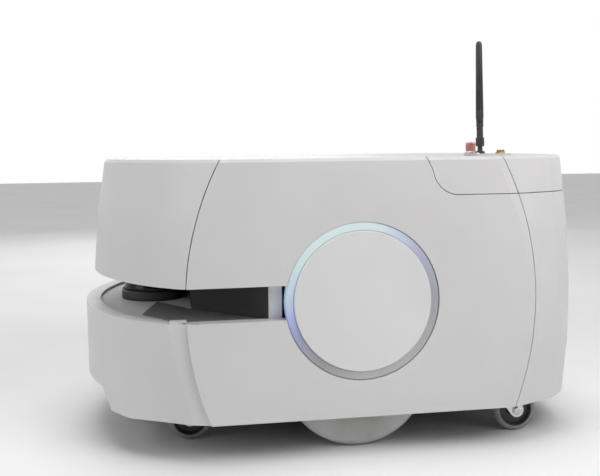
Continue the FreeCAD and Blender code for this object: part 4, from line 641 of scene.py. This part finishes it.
tread = tread_rubber()
nylon = matt_black("nylon_core", 0.03, 0.42)
bearing_steel = machined("bearing_steel", (0.55, 0.56, 0.58), 0.24)
dress("caster_bearings", bearing_steel, 0.0003)
for corner in ("front_left", "front_right", "rear_left", "rear_right"):
    dress(corner + "_fork", zinc, 0.0005)
    low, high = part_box(corner + "_caster_wheel")
    fork_low, fork_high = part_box(corner + "_fork")
    hub = ((low.x + high.x) / 2, (low.y + high.y) / 2, (low.z + high.z) / 2)
    radius = (high.z - low.z) / 2
    half = 0.011
    web = [(0.0115, 0.0042), (0.0115, 0.0090), (0.0100, 0.0098), (0.0058, 0.0116),
           (0.0056, 0.0196), (0.0098, 0.0212), (half, 0.0222)]
    rim = [(half, radius - 0.0066), (half - 0.0002, radius - 0.0048),
           (half - 0.0014, radius - 0.0022), (half - 0.0036, radius - 0.0006),
           (half - 0.0060, radius)]
    profile = web + rim + [(-d, r) for d, r in reversed(rim)]
    profile += [(-d, r) for d, r in reversed(web)]
    core = len(web)
    slots = [1] * core + [0] * (2 * len(rim) - 1) + [1] * (core + 1)
    wheel = bmesh.new()
    turn(wheel, profile, hub, axis="Y", steps=72, hole=True, slots=slots)
    wheel = new_piece(corner + "_caster_tread", wheel, [tread, nylon], 34)
    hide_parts(corner + "_caster_wheel")
    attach(wheel, corner + "_wheel")
    nuts = bmesh.new()
    reach = (fork_high.y - fork_low.y) / 2
    for sign in (1, -1):
        turn(nuts, [(sign * (0.0153 - 0.0002), 0.0072), (sign * 0.0161, 0.0072),
                    (sign * 0.0162, 0.0058), (sign * (reach - 0.0006), 0.0056),
                    (sign * (reach - 0.0001), 0.0046), (sign * (reach - 0.0001), 0.0005)], hub,
             axis="Y", steps=6 if sign > 0 else 30)
    nuts = new_piece(corner + "_axle_nuts", nuts, [bearing_steel], 25)
    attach(nuts, corner + "_swivel")


# ---------------------------------------------------------------- power and control
# Inside: a swappable battery in a dark moulded case on its folded tray, the main computer
# under a ribbed lid, the finned motor controller, and the charging block under the nose.

battery_case = moulded_plastic("battery_case", (0.020, 0.020, 0.022), (0.032, 0.032, 0.034), 0.55)
folded_zinc = machined("folded_zinc", (0.58, 0.59, 0.60), 0.36, (0.2, 1, 1), 300.0)
anodised = machined("anodised_fins", (0.40, 0.41, 0.43), 0.42, (1, 1, 0.1), 500.0)
dress("battery", battery_case, 0.0012)
dress("battery_tray", folded_zinc, 0.0003)
dress("core_computer", anodised, 0.0008)
dress("motor_controller", anodised, 0.0004)
dress("charge_contacts", turned_brass, 0.0004)


# ---------------------------------------------------------------- battery door and sensors
# The flat door closes the battery bay in the tail. It turns on two lift-off hinges on the
# right, and its round latch button stands at the left. Four round sensors sit in the corners.

dress("battery_door", cover_white, 0.0006)
dress("rear_hinges", zinc, 0.0003)
dress("door_latch_button", scanner_black, 0.0004)
dress("rear_sonars", scanner_black, 0.0003)


# ---------------------------------------------------------------- studio
# Pale floor, a soft ceiling light, four lamps and a faint even surround; the camera stands at
# the robot's left and is level, with its frame shifted down from the height of the deck.


def studio_floor():
    """Pale matt floor that shows as white towards the horizon."""
    material, tree, shader = finish("studio_floor", (0.86, 0.86, 0.86), 0.7, specular=0.2)
    mottle(tree, shader, (0.84, 0.84, 0.84), (0.88, 0.88, 0.88), noise(tree, 3.0))
    return material


floor = bmesh.new()
bmesh.ops.create_grid(floor, x_segments=8, y_segments=8, size=9.0)
floor = new_piece("floor", floor, [studio_floor()])
floor.location = (0, 0, -0.0005)

surround = bpy.data.worlds.new("surround")
surround.use_nodes = True
bpy.context.scene.world = surround
sky = surround.node_tree
lit = sky.nodes["Background"]
lit.inputs["Color"].default_value = (0.93, 0.95, 1.0, 1)
lit.inputs["Strength"].default_value = 0.18
shown = sky.nodes.new("ShaderNodeBackground")
shown.inputs["Color"].default_value = (1, 1, 1, 1)
rays = sky.nodes.new("ShaderNodeLightPath")
seen = rays.outputs["Is Camera Ray"]
for kind in ("Is Glossy Ray", "Is Transmission Ray"):
    either = sky.nodes.new("ShaderNodeMath")
    either.operation = "MAXIMUM"
    sky.links.new(seen, either.inputs[0])
    sky.links.new(rays.outputs[kind], either.inputs[1])
    seen = either.outputs[0]
mix = sky.nodes.new("ShaderNodeMixShader")
sky.links.new(seen, mix.inputs["Fac"])
sky.links.new(lit.outputs[0], mix.inputs[1])
sky.links.new(shown.outputs[0], mix.inputs[2])
sky.links.new(mix.outputs[0], sky.nodes["World Output"].inputs["Surface"])


def soft_lamp(name, spot, aim, size, power, tint=(1, 1, 1)):
    lamp = bpy.data.lights.new(name, "AREA")
    lamp.shape = "RECTANGLE"
    lamp.size, lamp.size_y = size
    lamp.energy = power
    lamp.color = tint
    holder = bpy.data.objects.new(name, lamp)
    bpy.context.scene.collection.objects.link(holder)
    holder.location = spot
    holder.rotation_euler = (Vector(aim) - Vector(spot)).to_track_quat("-Z", "Y").to_euler()


ceiling = bpy.data.lights.new("ceiling", "SUN")
ceiling.energy = 1.05
ceiling.angle = 0.7
ceiling.color = (1.0, 0.99, 0.98)
bpy.context.scene.collection.objects.link(bpy.data.objects.new("ceiling", ceiling))
soft_lamp("tail_high", (-0.60, 0.95, 1.15), (-0.15, 0.2, 0.25), (0.9, 0.6), 7.4, (1.0, 0.99, 0.98))
soft_lamp("tail_side", (-1.9, 1.7, 1.3), (-0.1, 0, 0.25), (1.4, 1.4), 12)
soft_lamp("nose_side", (1.9, 0.9, 1.2), (0.1, 0, 0.25), (1.2, 1.4), 15)
soft_lamp("far_side", (0.1, -2.2, 1.5), (0, 0, 0.25), (1.6, 1.6), 16)

eye = Vector((0.2438, 1.311, 0.399))
yaw, roll = math.radians(9.53), 0.0110
ahead = Vector((-math.sin(yaw), -math.cos(yaw), 0))
right = Vector((-math.cos(yaw), math.sin(yaw), 0))
up = right.cross(ahead)
right, up = (right * math.cos(roll) - up * math.sin(roll),
             up * math.cos(roll) + right * math.sin(roll))
lens = bpy.data.cameras.new("camera")
lens.sensor_width = 36.0
lens.lens = 51.0
lens.clip_start = 0.05
frame_drop = 0.1533
lens.shift_y = -frame_drop
camera = bpy.data.objects.new("camera", lens)
bpy.context.scene.collection.objects.link(camera)
turn_to = Matrix((right, up, -ahead)).transposed().to_4x4()
camera.matrix_world = Matrix.Translation(eye) @ turn_to
bpy.context.scene.camera = camera
bpy.context.scene.view_settings.view_transform = "Standard"

low, high = cad_box
